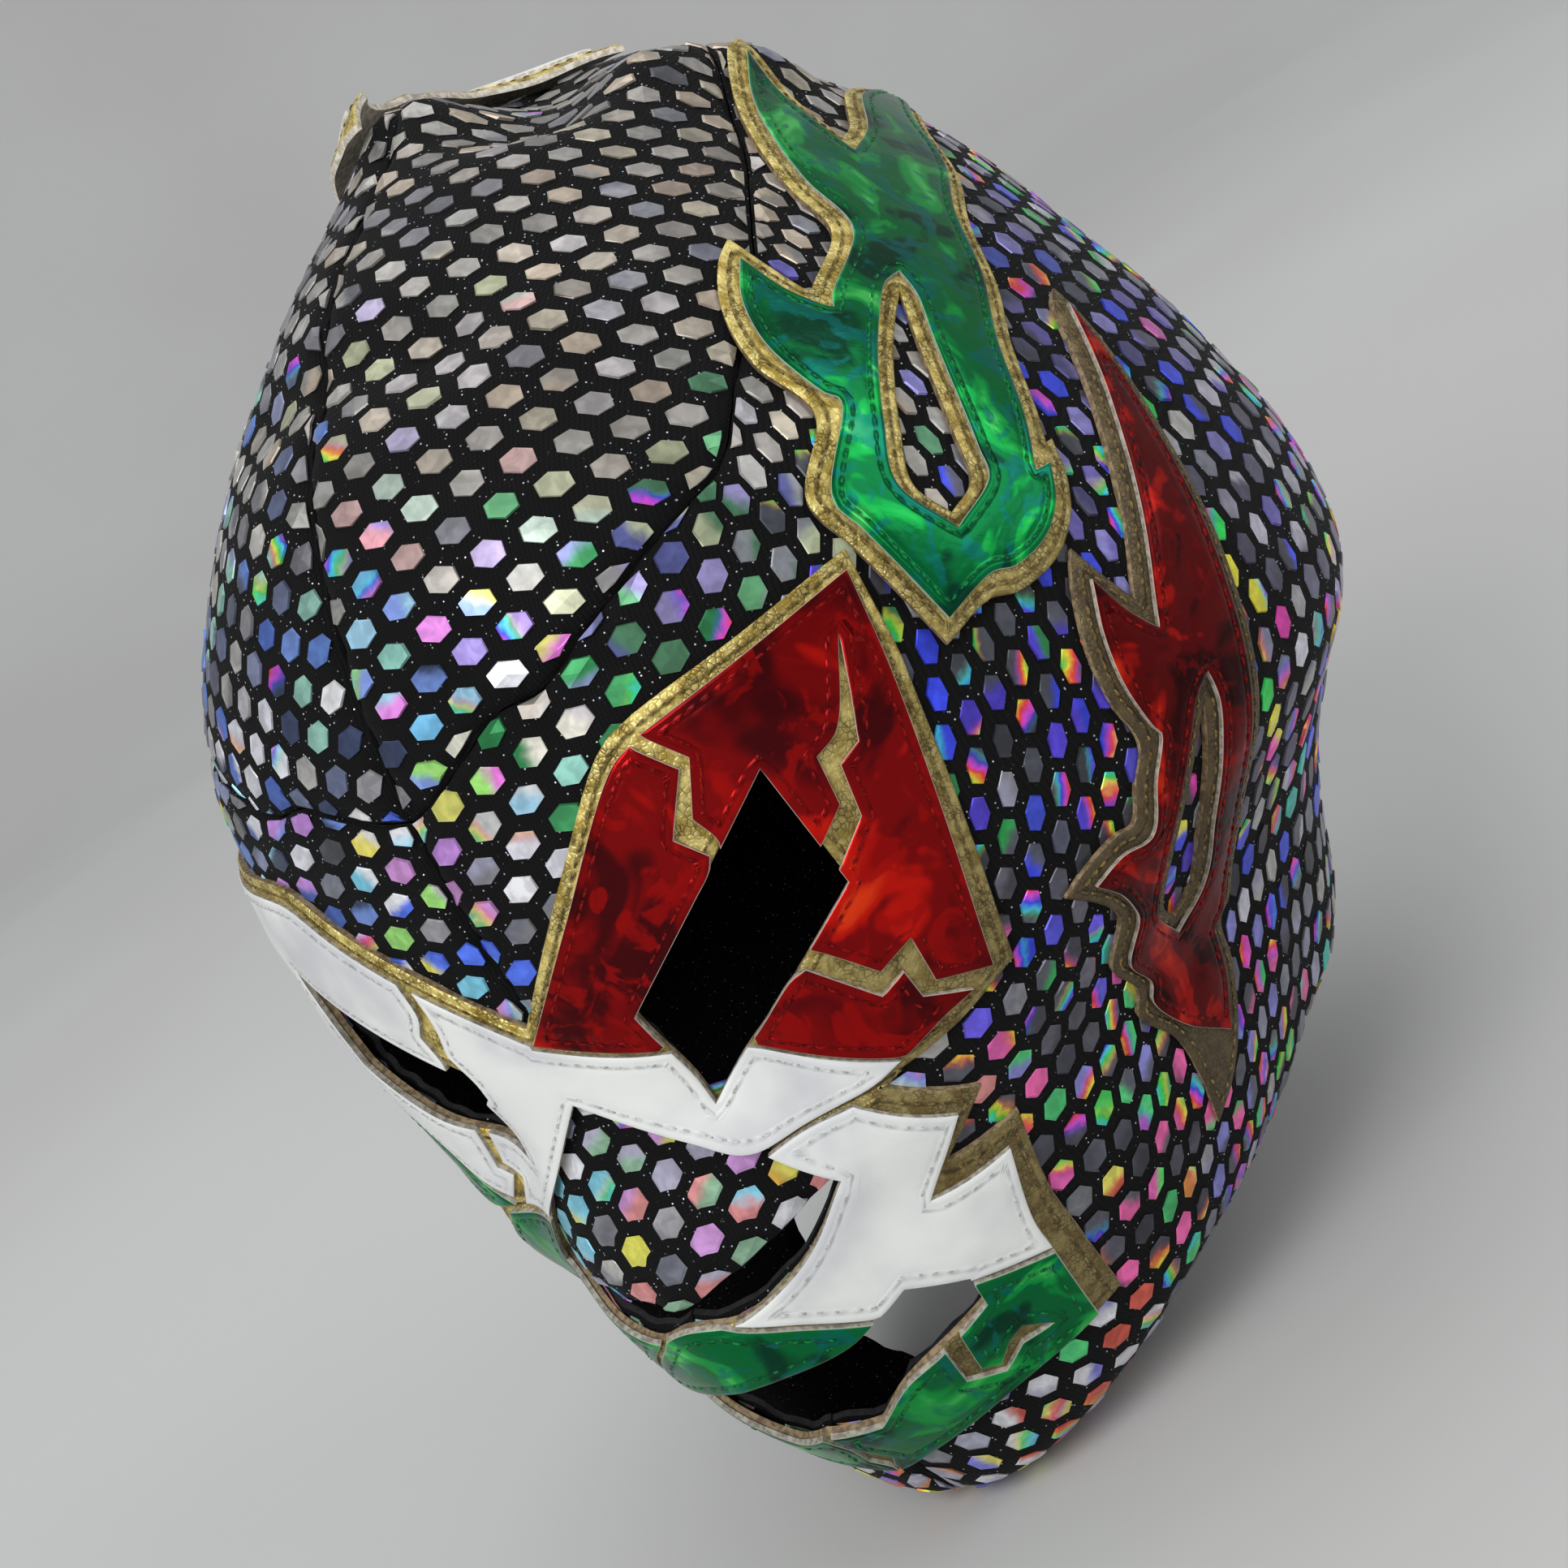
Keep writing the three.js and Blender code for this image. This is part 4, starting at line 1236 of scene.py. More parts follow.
    def tones(self, towards: np.ndarray) -> tuple[np.ndarray, np.ndarray, np.ndarray]:
        """Two colours of painted reflection for each dot, and how far a painted sweep of hues takes the
        place of the second.

        Args:
            towards: Directions of the dots.

        Returns:
            First colours, second colours and strengths of the sweep.
        """
        middles = np.array([direction(glint.azimuth, glint.elevation) for glint in GLINTS])
        spreads = np.array([glint.spread for glint in GLINTS])
        away = np.degrees(np.arccos(np.clip(towards @ middles.T, -1, 1))) / spreads
        weights = np.concatenate([np.exp(-(away**2)), np.full((len(towards), 1), PLAIN_SHARE)], axis=1)
        weights /= weights.sum(1, keepdims=True)
        ladder = np.cumsum(weights, axis=1)
        first, second, sweep = [], [], []
        for steps in ladder:
            which = min(int(np.searchsorted(steps, self.chance.random())), len(GLINTS))
            glint = (*GLINTS, PLAIN_GLINT)[which]
            one, two = (linear(glint.tones[i]) for i in self.chance.integers(len(glint.tones), size=2))
            one = one * self.chance.uniform(*self.brightness)
            if self.chance.random() > glint.split:
                two = one * self.chance.uniform(*self.partner_brightness)
            first.append(one)
            second.append(two)
            sweep.append(glint.purity if self.chance.random() < glint.rainbow else 0.0)
        return np.array(first), np.array(second), np.array(sweep)

    @staticmethod
    def shape() -> Repeats:
        """One dot: a thin hexagon with a bevelled rim and its points to the left and right.

        Returns:
            The dot, one long and one high.
        """
        bm = bmesh.new()
        bmesh.ops.create_circle(bm, cap_ends=True, segments=6, radius=0.5)
        turn = Matrix.Rotation(math.radians(30), 3, "Z")
        bmesh.ops.rotate(bm, verts=bm.verts, cent=(0, 0, 0), matrix=turn)
        face = bm.faces[:][0]
        flat_parts = [face, *face.edges, *face.verts]
        parts = bmesh.ops.extrude_face_region(bm, geom=flat_parts, use_keep_orig=True)["geom"]
        raised = [item for item in parts if isinstance(item, bmesh.types.BMVert)]
        bmesh.ops.scale(bm, vec=(0.95, 0.95, 1), verts=raised)
        bmesh.ops.translate(bm, vec=(0, 0, 1), verts=raised)
        top = [item for item in parts if isinstance(item, bmesh.types.BMFace)]
        bmesh.ops.poke(bm, faces=top)
        return Repeats(bm)

    def build(self, name: str, covers: list[LaidSheet], finish: bpy.types.Material) -> bpy.types.Object:
        """Makes all the panel's dots.

        Args:
            name: Name of the piece.
            covers: Sheets that lie on the panel.
            finish: The foil's material.

        Returns:
            The piece.
        """
        towards, aside, up = self.relaxed()
        keep = self.shown(towards, covers)
        towards, aside, up = towards[keep], aside[keep], up[keep]
        count = len(towards)
        frames = np.stack([aside, up, self.form.outward(towards)], axis=1)
        frames = turned(frames, self.chance.normal(0, self.turn, count))
        size = self.size_at(towards)[:, 2:4] * self.chance.normal(1, self.size_spread, (count, 2))
        sizes = np.stack([size[:, 0], size[:, 1] / self.cell_height, np.ones(count)], axis=-1)
        shape = self.shape()
        places = shape.spread(self.form.place(towards, KNIT_THICKNESS), frames, sizes)
        flat = self.sheet.map.flat(unit(places.reshape(-1, 3)))
        outline = self.sheet.outline
        distance, arc, nearest = outline.nearest(flat)
        cut_off = ~self.holds(flat) | (distance < self.edge_margin)
        flat[cut_off] = (outline.points + outline.inward * self.edge_margin)[nearest[cut_off]]
        distance = np.where(cut_off, self.edge_margin, distance)
        directions = self.sheet.map.towards(flat)
        tilt = self.chance.normal(0, self.tilt, (count, 2))
        lean = np.einsum("mk,nk->nm", shape.verts[:, :2], tilt * sizes[:, :2])
        lean += np.abs(tilt * sizes[:, :2]).sum(1, keepdims=True) * 0.3
        local = np.where(shape.verts[:, 2] > 0.5, self.thickness + lean, -0.05)
        upturn = self.upturn * np.exp(-((distance / self.upturn_reach) ** 2))
        height = self.sheet.top(directions, distance, arc) + local.ravel() + upturn
        placed = self.form.place(directions, height).reshape(places.shape)
        piece = shape.joined(name, placed, self.form, finish)
        self._paint(piece.data, shape, towards)
        return piece

    def _paint(self, mesh: bpy.types.Mesh, shape: Repeats, towards: np.ndarray) -> None:
        """Writes each dot's two colours of painted reflection and how they blend across it.

        Args:
            mesh: The joined dots.
            shape: One dot.
            towards: Directions of the dots.
        """
        first, second, sweep = self.tones(towards)
        size, count = len(shape.verts), len(towards)
        for label, tones in (("painted_reflection_a", first), ("painted_reflection_b", second)):
            colours = np.repeat(np.column_stack([tones, sweep]), size, axis=0)
            layer = mesh.attributes.new(label, "FLOAT_COLOR", "POINT")
            layer.data.foreach_set("color", colours.astype(np.float32).ravel())
        turn = self.chance.uniform(0, 2 * np.pi, count)
        ways = np.stack([np.cos(turn), np.sin(turn)], axis=-1)
        local = ways @ shape.verts[:, :2].T
        across = self.chance.normal(*self.blend_middle, (count, 1)) + local
        start = self.chance.uniform(0, 1, (count, 1))
        hue = start + local * self.chance.uniform(*self.hue_spans, (count, 1))
        blend = np.stack([across, hue], axis=-1).reshape(-1, 2)
        corners = np.zeros(len(mesh.loops), dtype=np.int32)
        mesh.loops.foreach_get("vertex_index", corners)
        layer = mesh.uv_layers.new(name="blend")
        layer.data.foreach_set("uv", blend[corners].astype(np.float32).ravel())


# Stitching


class StitchRow:
    """Thread stitches in a row inside the edge of each of some sheets."""

    length: float = 1.6
    breadth: float = 0.36
    thickness: float = 0.22
    spare: float = 0.35
    turn: float = 0.06
    size_spread: float = 0.06

    def __init__(self, form: HeadForm, inset: float, seed: int) -> None:
        """Sets where the row runs.

        Args:
            form: What the sheets lie on.
            inset: Millimetres from the edge.
            seed: Seed of the stitches' small irregularities.
        """
        self.form, self.inset = form, inset
        self.chance = np.random.default_rng(seed)

    @staticmethod
    def shape() -> Repeats:
        """One stitch: a short thread that dips into the cloth at both ends.

        Returns:
            The stitch, one long.
        """
        bm = bmesh.new()
        bmesh.ops.create_cube(bm, size=1)
        along = [edge for edge in bm.edges if abs(edge.verts[0].co.x - edge.verts[1].co.x) > 0.5]
        bmesh.ops.subdivide_edges(bm, edges=along, cuts=3, use_grid_fill=True)
        for vert in bm.verts:
            reach = abs(vert.co.x) * 2
            vert.co.z += 0.35 - 1.6 * reach**2.5
            vert.co.y *= 1 - 0.35 * reach
        return Repeats(bm)

    def places(self, sheet: LaidSheet) -> tuple[np.ndarray, np.ndarray]:
        """Where the stitches of one sheet go.

        Args:
            sheet: The stitched sheet.

        Returns:
            Origins and frames of the stitches.
        """
        outline = sheet.outline
        width = outline.widths(self.inset * 3, share=1.0)
        picked = []
        for numbers in outline.loop_numbers():
            total = outline.arcs[numbers[-1]] + outline.step_lengths[numbers[-1]]
            count = max(3, round(total / STITCH_PITCH))
            wanted = (np.arange(count) + 0.5) * total / count
            picked.append(numbers[np.searchsorted(outline.arcs[numbers], wanted, side="right") - 1])
        at = np.concatenate(picked)
        at = at[width[at] > self.inset + self.spare]
        flat = outline.points[at] + outline.inward[at] * self.inset
        towards = sheet.map.towards(flat)
        ahead = sheet.map.towards(flat + outline.tangents[at] * 0.5)
        here = self.form.place(towards, 0)
        run = unit(self.form.place(ahead, 0) - here)
        out = self.form.outward(towards)
        right = unit(run - out * (run * out).sum(-1, keepdims=True))
        frames = np.stack([right, np.cross(out, right), out], axis=1)
        distance, arc, _ = outline.nearest(flat)
        origins = self.form.place(towards, sheet.top(towards, distance, arc) + 0.05)
        return origins, turned(frames, self.chance.normal(0, self.turn, len(at)))

    def build(self, name: str, sheets: list[LaidSheet], finish: bpy.types.Material) -> bpy.types.Object:
        """Makes the stitches of all the sheets as one piece.

        Args:
            name: Name of the piece.
            sheets: The stitched sheets.
            finish: The thread's material.

        Returns:
            The piece.
        """
        rows = [self.places(sheet) for sheet in sheets]
        origins = np.vstack([row[0] for row in rows])
        frames = np.vstack([row[1] for row in rows])
        sizes = np.tile([self.length, self.breadth, self.thickness], (len(origins), 1))
        sizes *= self.chance.normal(1, self.size_spread, sizes.shape)
        shape = self.shape()
        return shape.joined(name, shape.spread(origins, frames, sizes), self.form, finish)


# Finishes


class NodeSheet:
    """A material's nodes, with short calls for those that the finishes share."""

    def __init__(self, name: str) -> None:
        """Starts a material with one shader.

        Args:
            name: Name of the material.
        """
        self.material = bpy.data.materials.new(name)
        self.material.use_nodes = True
        self.tree = self.material.node_tree
        self.tree.nodes.clear()
        self.shader = self.tree.nodes.new("ShaderNodeBsdfPrincipled")
        output = self.tree.nodes.new("ShaderNodeOutputMaterial")
        self.tree.links.new(self.shader.outputs["BSDF"], output.inputs["Surface"])
        self.object_place = self.tree.nodes.new("ShaderNodeTexCoord").outputs["Object"]

    def node(
        self, kind: str, inputs: dict[str | int, Level | Colour], **settings: str
    ) -> bpy.types.Node:
        """Adds a node.

        Args:
            kind: Blender's name of the node, without ShaderNode.
            inputs: Values or sockets for its inputs, by name or number.
            **settings: The node's own settings.

        Returns:
            The node.
        """
        node = self.tree.nodes.new(f"ShaderNode{kind}")
        for key, value in settings.items():
            setattr(node, key, value)
        for key, value in inputs.items():
            if isinstance(value, Socket):
                self.tree.links.new(value, node.inputs[key])
            else:
                node.inputs[key].default_value = value
        return node

    def set(self, **inputs: Level | Colour) -> None:
        """Sets or links the shader's inputs.

        Args:
            **inputs: Values or sockets by the input's name, with underscores for spaces.
        """
        for key, value in inputs.items():
            socket = self.shader.inputs[key.replace("_", " ").title().replace("Ior", "IOR")]
            if isinstance(value, Socket):
                self.tree.links.new(value, socket)
            else:
                socket.default_value = value

    def sum(self, a: Level, operation: str, b: Level, c: Level = 0.0) -> Socket:
        """Result of one step of arithmetic on numbers or sockets."""
        return self.node("Math", {0: a, 1: b, 2: c}, operation=operation).outputs[0]

    def range(
        self, value: Level, low: float, high: float, to_low: float = 0.0, to_high: float = 1.0
    ) -> Socket:
        """A value eased from one range to another, and held at its ends."""
        inputs = {"Value": value, 1: low, 2: high, 3: to_low, 4: to_high}
        return self.node("MapRange", inputs, interpolation_type="SMOOTHSTEP").outputs[0]

    def mix(self, factor: Level, a: Colour, b: Colour) -> Socket:
        """A colour between two."""
        values = [tuple(v) if isinstance(v, np.ndarray) else v for v in (a, b)]
        return self.node("Mix", {0: factor, 6: values[0], 7: values[1]}, data_type="RGBA").outputs[2]

    def noise(self, size: float, detail: float = 2.0, distortion: float = 0.0) -> Socket:
        """Soft noise.

        Args:
            size: Rough length of its features in millimetres.
            detail: Number of finer layers.
            distortion: How far the features are drawn out of shape.

        Returns:
            A value from 0 to 1.
        """
        inputs = {
            "Vector": self.object_place, "Scale": 1 / (size * METRES),
            "Detail": detail, "Distortion": distortion,
        }
        return self.node("TexNoise", inputs).outputs["Fac"]

    def cells(self, size: float, feature: str = "F1") -> bpy.types.Node:
        """Cells about this many millimetres wide."""
        inputs = {"Vector": self.object_place, "Scale": 1 / (size * METRES)}
        return self.node("TexVoronoi", inputs, feature=feature)

    def ramp(self, value: Level, stops: tuple[tuple[float, str], ...], smooth: bool = True) -> Socket:
        """Colours along a value.

        Args:
            value: The value.
            stops: Where each tone lies.
            smooth: Whether the tones ease into each other.

        Returns:
            The colour.
        """
        node = self.node("ValToRGB", {0: value})
        ramp = node.color_ramp
        ramp.interpolation = "EASE" if smooth else "LINEAR"
        for at, tone in stops[1:-1]:
            ramp.elements.new(at).color = tone_of(tone)
        for which in (0, -1):
            ramp.elements[which].position = stops[which][0]
            ramp.elements[which].color = tone_of(stops[which][1])
        return node.outputs["Color"]

    def bump(
        self, height: Level, depth: float, strength: float = 1.0, under: Socket | None = None
    ) -> Socket:
        """A normal raised by a height.

        Args:
            height: The height from 0 to 1.
            depth: Millimetres that a height of 1 stands for.
            strength: Share of the bump that shows.
            under: Normal of a larger bump beneath, if there is one.

        Returns:
            The normal.
        """
        inputs = {"Height": height, "Distance": depth * METRES, "Strength": strength}
        if under is not None:
            inputs["Normal"] = under
        return self.node("Bump", inputs).outputs[0]

    def edge(self) -> tuple[Socket, Socket]:
        """Place by the nearest edge.

        Returns:
            Millimetres along the edge and from it.
        """
        place = self.node("UVMap", {}, uv_map="edge").outputs[0]
        parts = self.node("SeparateXYZ", {0: place})
        return parts.outputs[0], parts.outputs[1]

    def seam(self, inset: float, reach: float = 0.55) -> Socket:
        """How far a stitched row is pressed in, deeper between its stitches.

        Args:
            inset: Millimetres of the row from the edge.
            reach: Half width of the pressed groove in millimetres.

        Returns:
            A value from 0 to 1.
        """
        along, distance = self.edge()
        off = self.sum(self.sum(distance, "SUBTRACT", inset), "ABSOLUTE", 0.0)
        row = self.range(off, 0.0, reach, 1.0, 0.0)
        beat = self.sum(self.sum(along, "MULTIPLY", 2 * math.pi / STITCH_PITCH), "COSINE", 0.0)
        return self.sum(row, "MULTIPLY", self.sum(beat, "MULTIPLY_ADD", 0.3, 0.7))


def tone_of(tone: str) -> tuple[float, float, float, float]:
    """Linear colour of a six-digit tone, with full opacity."""
    return (*(float(share) for share in linear(tone)), 1.0)


@dataclass(frozen=True)
class KnitFinish:
    """Fine ribbed black knit with small silver specks of uneven brightness."""

    name: str = "black_speckled_knit"
    yarn: str = "050505"
    worn: str = "17171a"
    speck: str = "d5d8e0"
    rib_scale: float = 520.0
    loop_scale: float = 640.0
    speck_spacing: float = 0.95

    def make(self) -> bpy.types.Material:
        """Makes the material.

        Returns:
            The material.
        """
        sheet = NodeSheet(self.name)
        ribs = sheet.node(
            "TexWave",
            {"Vector": sheet.object_place, "Scale": self.rib_scale, "Distortion": 1.2, "Detail": 1.0},
            bands_direction="X",
        ).outputs["Fac"]
        loops = sheet.node(
            "TexWave",
            {"Vector": sheet.object_place, "Scale": self.loop_scale, "Distortion": 0.8},
            bands_direction="Z",
        ).outputs["Fac"]
        weave = sheet.sum(ribs, "MULTIPLY_ADD", 0.6, sheet.sum(loops, "MULTIPLY", 0.4))
        wear = sheet.noise(9, 3)
        cloth = sheet.mix(sheet.sum(weave, "MULTIPLY", wear), tone_of(self.yarn), tone_of(self.worn))
        cells = sheet.cells(self.speck_spacing)
        bright = sheet.node("SeparateColor", {0: cells.outputs["Color"]}).outputs[0]
        spots = sheet.range(cells.outputs["Distance"], 0.1, 0.17, 1.0, 0.0)
        specks = sheet.sum(spots, "MULTIPLY", sheet.range(bright, 0.2, 1.0))
        sheet.set(
            base_color=sheet.mix(specks, cloth, tone_of(self.speck)),
            metallic=sheet.sum(specks, "MULTIPLY", 0.5),
            roughness=sheet.range(specks, 0, 1, 0.85, 0.3),
            specular_ior_level=0.14,
            sheen_weight=0.02,
            normal=sheet.bump(weave, 0.1, 0.7),
        )
        return sheet.material


@dataclass(frozen=True)
class DotFinish:
    """Holographic foil whose reflections are painted on each dot as colour, some with a painted sweep
    through the hues, all with painted streaks of sheen.
    """

    name: str = "holographic_foil"
    hues: tuple[tuple[float, str], ...] = (
        (0.0, "ee3c30"), (0.13, "f39a3a"), (0.22, "f2e23e"), (0.38, "3ed84a"), (0.53, "46d8ea"),
        (0.68, "3646ea"), (0.84, "dc4edc"), (1.0, "ee3c30"),
    )

    def make(self) -> bpy.types.Material:
        """Makes the material.

        Returns:
            The material.
        """
        sheet = NodeSheet(self.name)
        blend = sheet.node("SeparateXYZ", {0: sheet.node("UVMap", {}, uv_map="blend").outputs[0]})
        across, hue = blend.outputs[0], blend.outputs[1]
        waver = sheet.noise(2.2, 2, 0.6)
        share = sheet.range(sheet.sum(waver, "MULTIPLY_ADD", 0.5, across), 0.5, 1.0)
        swept = sheet.sum(sheet.sum(waver, "MULTIPLY_ADD", 0.4, hue), "FRACT", 0.0)
        rainbow = sheet.ramp(swept, self.hues, smooth=False)
        first, second = (
            sheet.node("Attribute", {}, attribute_name=label).outputs for label in ("painted_reflection_a", "painted_reflection_b")
        )
        far = sheet.mix(first["Alpha"], second["Color"], rainbow)
        tone = sheet.mix(share, first["Color"], far)
        # Painted sheen: streaks that brighten and darken the painted reflections.
        sheen_streaks = sheet.range(sheet.noise(2.4, 3, 0.6), 0.35, 0.7, 0.85, 1.2)
        sheen_streaked = sheet.node("VectorMath", {0: tone, "Scale": sheen_streaks}, operation="SCALE")
        sheet.set(
            base_color=sheen_streaked.outputs[0],
            metallic=0.4,
            roughness=0.3,
            specular_ior_level=0.35,
            normal=sheet.bump(sheet.noise(1.1, 2), 0.05, 0.35),
        )
        return sheet.material


@dataclass(frozen=True)
class LeatherFinish:
    """Crackled metallic leather, bright on one side and darkened with brown painted shade towards the
    bottom and the wearer's left, with a stitched row.
    """

    name: str = "crackled_gold_leather"
    pale: str = "f0dc88"
    gold: str = "ab923c"
    crack: str = "33290f"
    shade: str = "4f4230"
    metallic: float = 0.5
    stitch_inset: float = 1.6

    def make(self) -> bpy.types.Material:
        """Makes the material.

        Returns:
            The material.
        """
        sheet = NodeSheet(self.name)
        mottled = sheet.ramp(sheet.noise(2.6, 5, 0.6), ((0.34, self.gold), (0.64, self.pale)))
        creases = sheet.cells(0.9, "DISTANCE_TO_EDGE").outputs["Distance"]
        fine = sheet.cells(0.45, "DISTANCE_TO_EDGE").outputs["Distance"]
        cracks = sheet.sum(
            sheet.range(creases, 0.0, 0.13, 0.85, 0.0), "MAXIMUM", sheet.range(fine, 0.0, 0.1, 0.5, 0.0)
        )
        broken = sheet.range(sheet.noise(4, 3), 0.38, 0.58)
        worn = sheet.mix(sheet.sum(cracks, "MULTIPLY", broken), mottled, tone_of(self.crack))
        # Painted shade: darker towards the bottom and the wearer's left, the side turned from the light.
        parts = sheet.node("SeparateXYZ", {0: sheet.object_place})
        drop = sheet.sum(parts.outputs[2], "MULTIPLY", -1.0)
        lean = sheet.sum(parts.outputs[0], "MULTIPLY_ADD", 0.8, drop)
        side_shaded = sheet.mix(sheet.range(lean, 0.1, 0.2, 0.0, 0.75), worn, tone_of(self.shade))
        pressed = sheet.seam(self.stitch_inset)
        grain = sheet.bump(sheet.range(creases, 0, 0.25), 0.08, 0.7)
        folds = sheet.bump(sheet.noise(2.8, 3, 0.8), 0.28, 0.8, grain)
        sheet.set(
            # Painted shade in the pressed groove of the stitched row, in the crack tone.
            base_color=sheet.mix(sheet.sum(pressed, "MULTIPLY", 0.6), side_shaded, tone_of(self.crack)),
            metallic=self.metallic,
            roughness=sheet.range(cracks, 0, 1, 0.34, 0.7),
            normal=sheet.bump(sheet.sum(1.0, "SUBTRACT", pressed), 0.4, 0.9, folds),
        )
        return sheet.material


@dataclass(frozen=True)
class FoilFinish:
    """Mirror-like foil film, painted with the soft clouds that it reflects, pale where it is cut."""

    name: str
    deep: str
    middle: str
    bright: str
    hot: str
    tint: str
    cloud: float = 22.0
    cut: str = "c9b3a4"

    def make(self) -> bpy.types.Material:
        """Makes the material.

        Returns:
            The material.
        """
        sheet = NodeSheet(self.name)
        clouds = sheet.noise(self.cloud, 3, 1.1)
        body = sheet.ramp(clouds, (
            (0.38, self.deep), (0.47, self.middle), (0.54, self.middle),
            (0.6, self.bright), (0.7, self.hot),
        ))
        veins = sheet.range(sheet.noise(self.cloud * 0.5, 4, 2.2), 0.52, 0.62, 0.0, 0.7)
        tinted = sheet.mix(veins, body, tone_of(self.tint))
        pressed = sheet.seam(FILM_CUT.groove_inset)
        # Painted shade in the pressed groove of the stitched row.
        groove_shaded = sheet.mix(sheet.sum(pressed, "MULTIPLY", 0.4), tinted, tone_of(self.deep))
        rim = sheet.range(sheet.edge()[1], 0.02, 0.13, 1.0, 0.0)
        puckers = sheet.bump(sheet.noise(2.6, 2, 0.5), 0.16, 0.5)
        sheet.set(
            base_color=sheet.mix(rim, groove_shaded, tone_of(self.cut)),
            metallic=sheet.range(rim, 0, 1, 0.8, 0.1),
            roughness=sheet.range(rim, 0, 1, 0.26, 0.6),
            specular_ior_level=0.3,
            normal=sheet.bump(sheet.sum(1.0, "SUBTRACT", pressed), 0.3, 0.8, puckers),
        )
        return sheet.material


RED_FOIL = FoilFinish("red_foil_film", "48050a", "84070a", "cd160c", "ee3e14", "a60b0a")
DEEP_RED_FOIL = FoilFinish("deep_red_foil_film", "2c0306", "5c0709", "a3130d", "dc3415", "6c0909", 17.0)
GREEN_FOIL = FoilFinish(
    "green_foil_film", "02402a", "04713a", "12a548", "56dc6c", "06706a", 16.0, "a9b9a0",
)


@dataclass(frozen=True)
class VinylFinish:
    """Smooth half-gloss vinyl with a faint grain and stitched rows pressed in."""

    name: str = "white_vinyl_sheet"
    tone: str = "e9ebe8"
    shade: str = "cdced2"

    def make(self) -> bpy.types.Material:
        """Makes the material.

        Returns:
            The material.
        """
        sheet = NodeSheet(self.name)
        cloth = sheet.ramp(sheet.noise(22, 3), ((0.35, self.shade), (0.6, self.tone)))
        pressed = sheet.seam(FILM_CUT.groove_inset)
        grain = sheet.bump(sheet.cells(0.55).outputs["Distance"], 0.03, 0.35)
        puckers = sheet.bump(sheet.noise(4, 2), 0.25, 0.4, grain)
        sheet.set(
            # Painted shade in the pressed groove of the stitched rows.
            base_color=sheet.mix(sheet.sum(pressed, "MULTIPLY", 0.35), cloth, tone_of(self.shade)),
            roughness=0.36,
            coat_weight=0.15,
            coat_roughness=0.3,
            normal=sheet.bump(sheet.sum(1.0, "SUBTRACT", pressed), 0.3, 0.8, puckers),
        )
        return sheet.material


@dataclass(frozen=True)
class PlainFinish:
    """One colour with a fine uneven grain, for cut edges, threads, lace and metal."""

    name: str
    tone: str
    shade: str
    roughness: float = 0.6
    metallic: float = 0.0
    grain: float = 0.5
    depth: float = 0.06
    gloss: float = 0.5

    def make(self) -> bpy.types.Material:
        """Makes the material.

        Returns:
            The material.
        """
        sheet = NodeSheet(self.name)
        mottle = sheet.noise(self.grain * 2, 4)
        sheet.set(
            base_color=sheet.ramp(mottle, ((0.35, self.shade), (0.65, self.tone))),
            roughness=self.roughness,
            metallic=self.metallic,
            specular_ior_level=self.gloss,
            normal=sheet.bump(sheet.noise(self.grain, 2), self.depth, 0.6),
        )
        return sheet.material


@dataclass(frozen=True)
class LaceFinish:
    """Flat woven lace with slanting yarns."""

    name: str = "black_woven_lace"
    tone: str = "1d1d22"
    shade: str = "0b0b0d"
    yarn_width: float = 0.7

    def make(self) -> bpy.types.Material:
        """Makes the material.

        Returns:
            The material.
        """
        sheet = NodeSheet(self.name)
        along, across = sheet.edge()
        slant = sheet.sum(along, "ADD", across)
        turn = sheet.sum(slant, "MULTIPLY", 2 * math.pi / self.yarn_width)
        weave = sheet.sum(sheet.sum(turn, "SINE", 0.0), "MULTIPLY_ADD", 0.5, 0.5)
        sheet.set(
            base_color=sheet.mix(weave, tone_of(self.shade), tone_of(self.tone)),
            roughness=0.75,
            sheen_weight=0.2,
            normal=sheet.bump(weave, 0.12, 0.8),
        )
        return sheet.material


class Finishes:
    """Every material of the mask, made once."""

    def __init__(self) -> None:
        """Makes the materials."""
        self.knit = KnitFinish().make()
        self.dots = DotFinish().make()
        self.gold = LeatherFinish().make()
        self.dark_gold = LeatherFinish(
            "browned_gold_leather", "8f7c50", "5f4e34", "221a10", "453926", 0.4
        ).make()
        self.red = RED_FOIL.make()
        self.deep_red = DEEP_RED_FOIL.make()
        self.green = GREEN_FOIL.make()
        self.white = VinylFinish().make()
        self.knit_edge = PlainFinish("cut_knit_edge", "1c1c20", "0b0b0c", 0.9).make()
        self.leather_edge = PlainFinish("cut_leather_edge", "a08b6a", "6a573e", 0.75).make()
        self.film_edge = PlainFinish("cut_film_edge", "b4aea2", "7f796c", 0.6).make()
        self.pale_edge = PlainFinish("cut_pale_edge", "e9e2d4", "b7ad9a", 0.6).make()
        self.red_thread = self.thread("red_thread", "96110e", "4a0506", 0.7, 0.1)
        self.green_thread = self.thread("green_thread", "1c8a46", "04482a", 0.7, 0.1)
        self.white_thread = self.thread("white_thread", "dcdedb", "a4a5a3", 0.5, 0.5)
        self.gold_thread = self.thread("gold_thread", "8c7646", "4b3c22", 0.6, 0.2)
        self.lace = LaceFinish().make()
        self.metal = PlainFinish("blackened_metal", "4a4a50", "2a2a2e", 0.32, 0.9, 1.5, 0.02).make()

    @staticmethod
    def thread(name: str, tone: str, shade: str, roughness: float, gloss: float) -> bpy.types.Material:
        """Makes a thread's material with the fine grain that they all have."""
        return PlainFinish(name, tone, shade, roughness, grain=0.3, gloss=gloss).make()


# The mask's sub-assemblies


class Slot(Enum):
    """The record's material slots."""

    KNIT = "knit"
    GOLD = "gold_leather"
    RED = "red_foil"
    WHITE = "white_vinyl"
    GREEN = "green_foil"
    LACE = "lace"


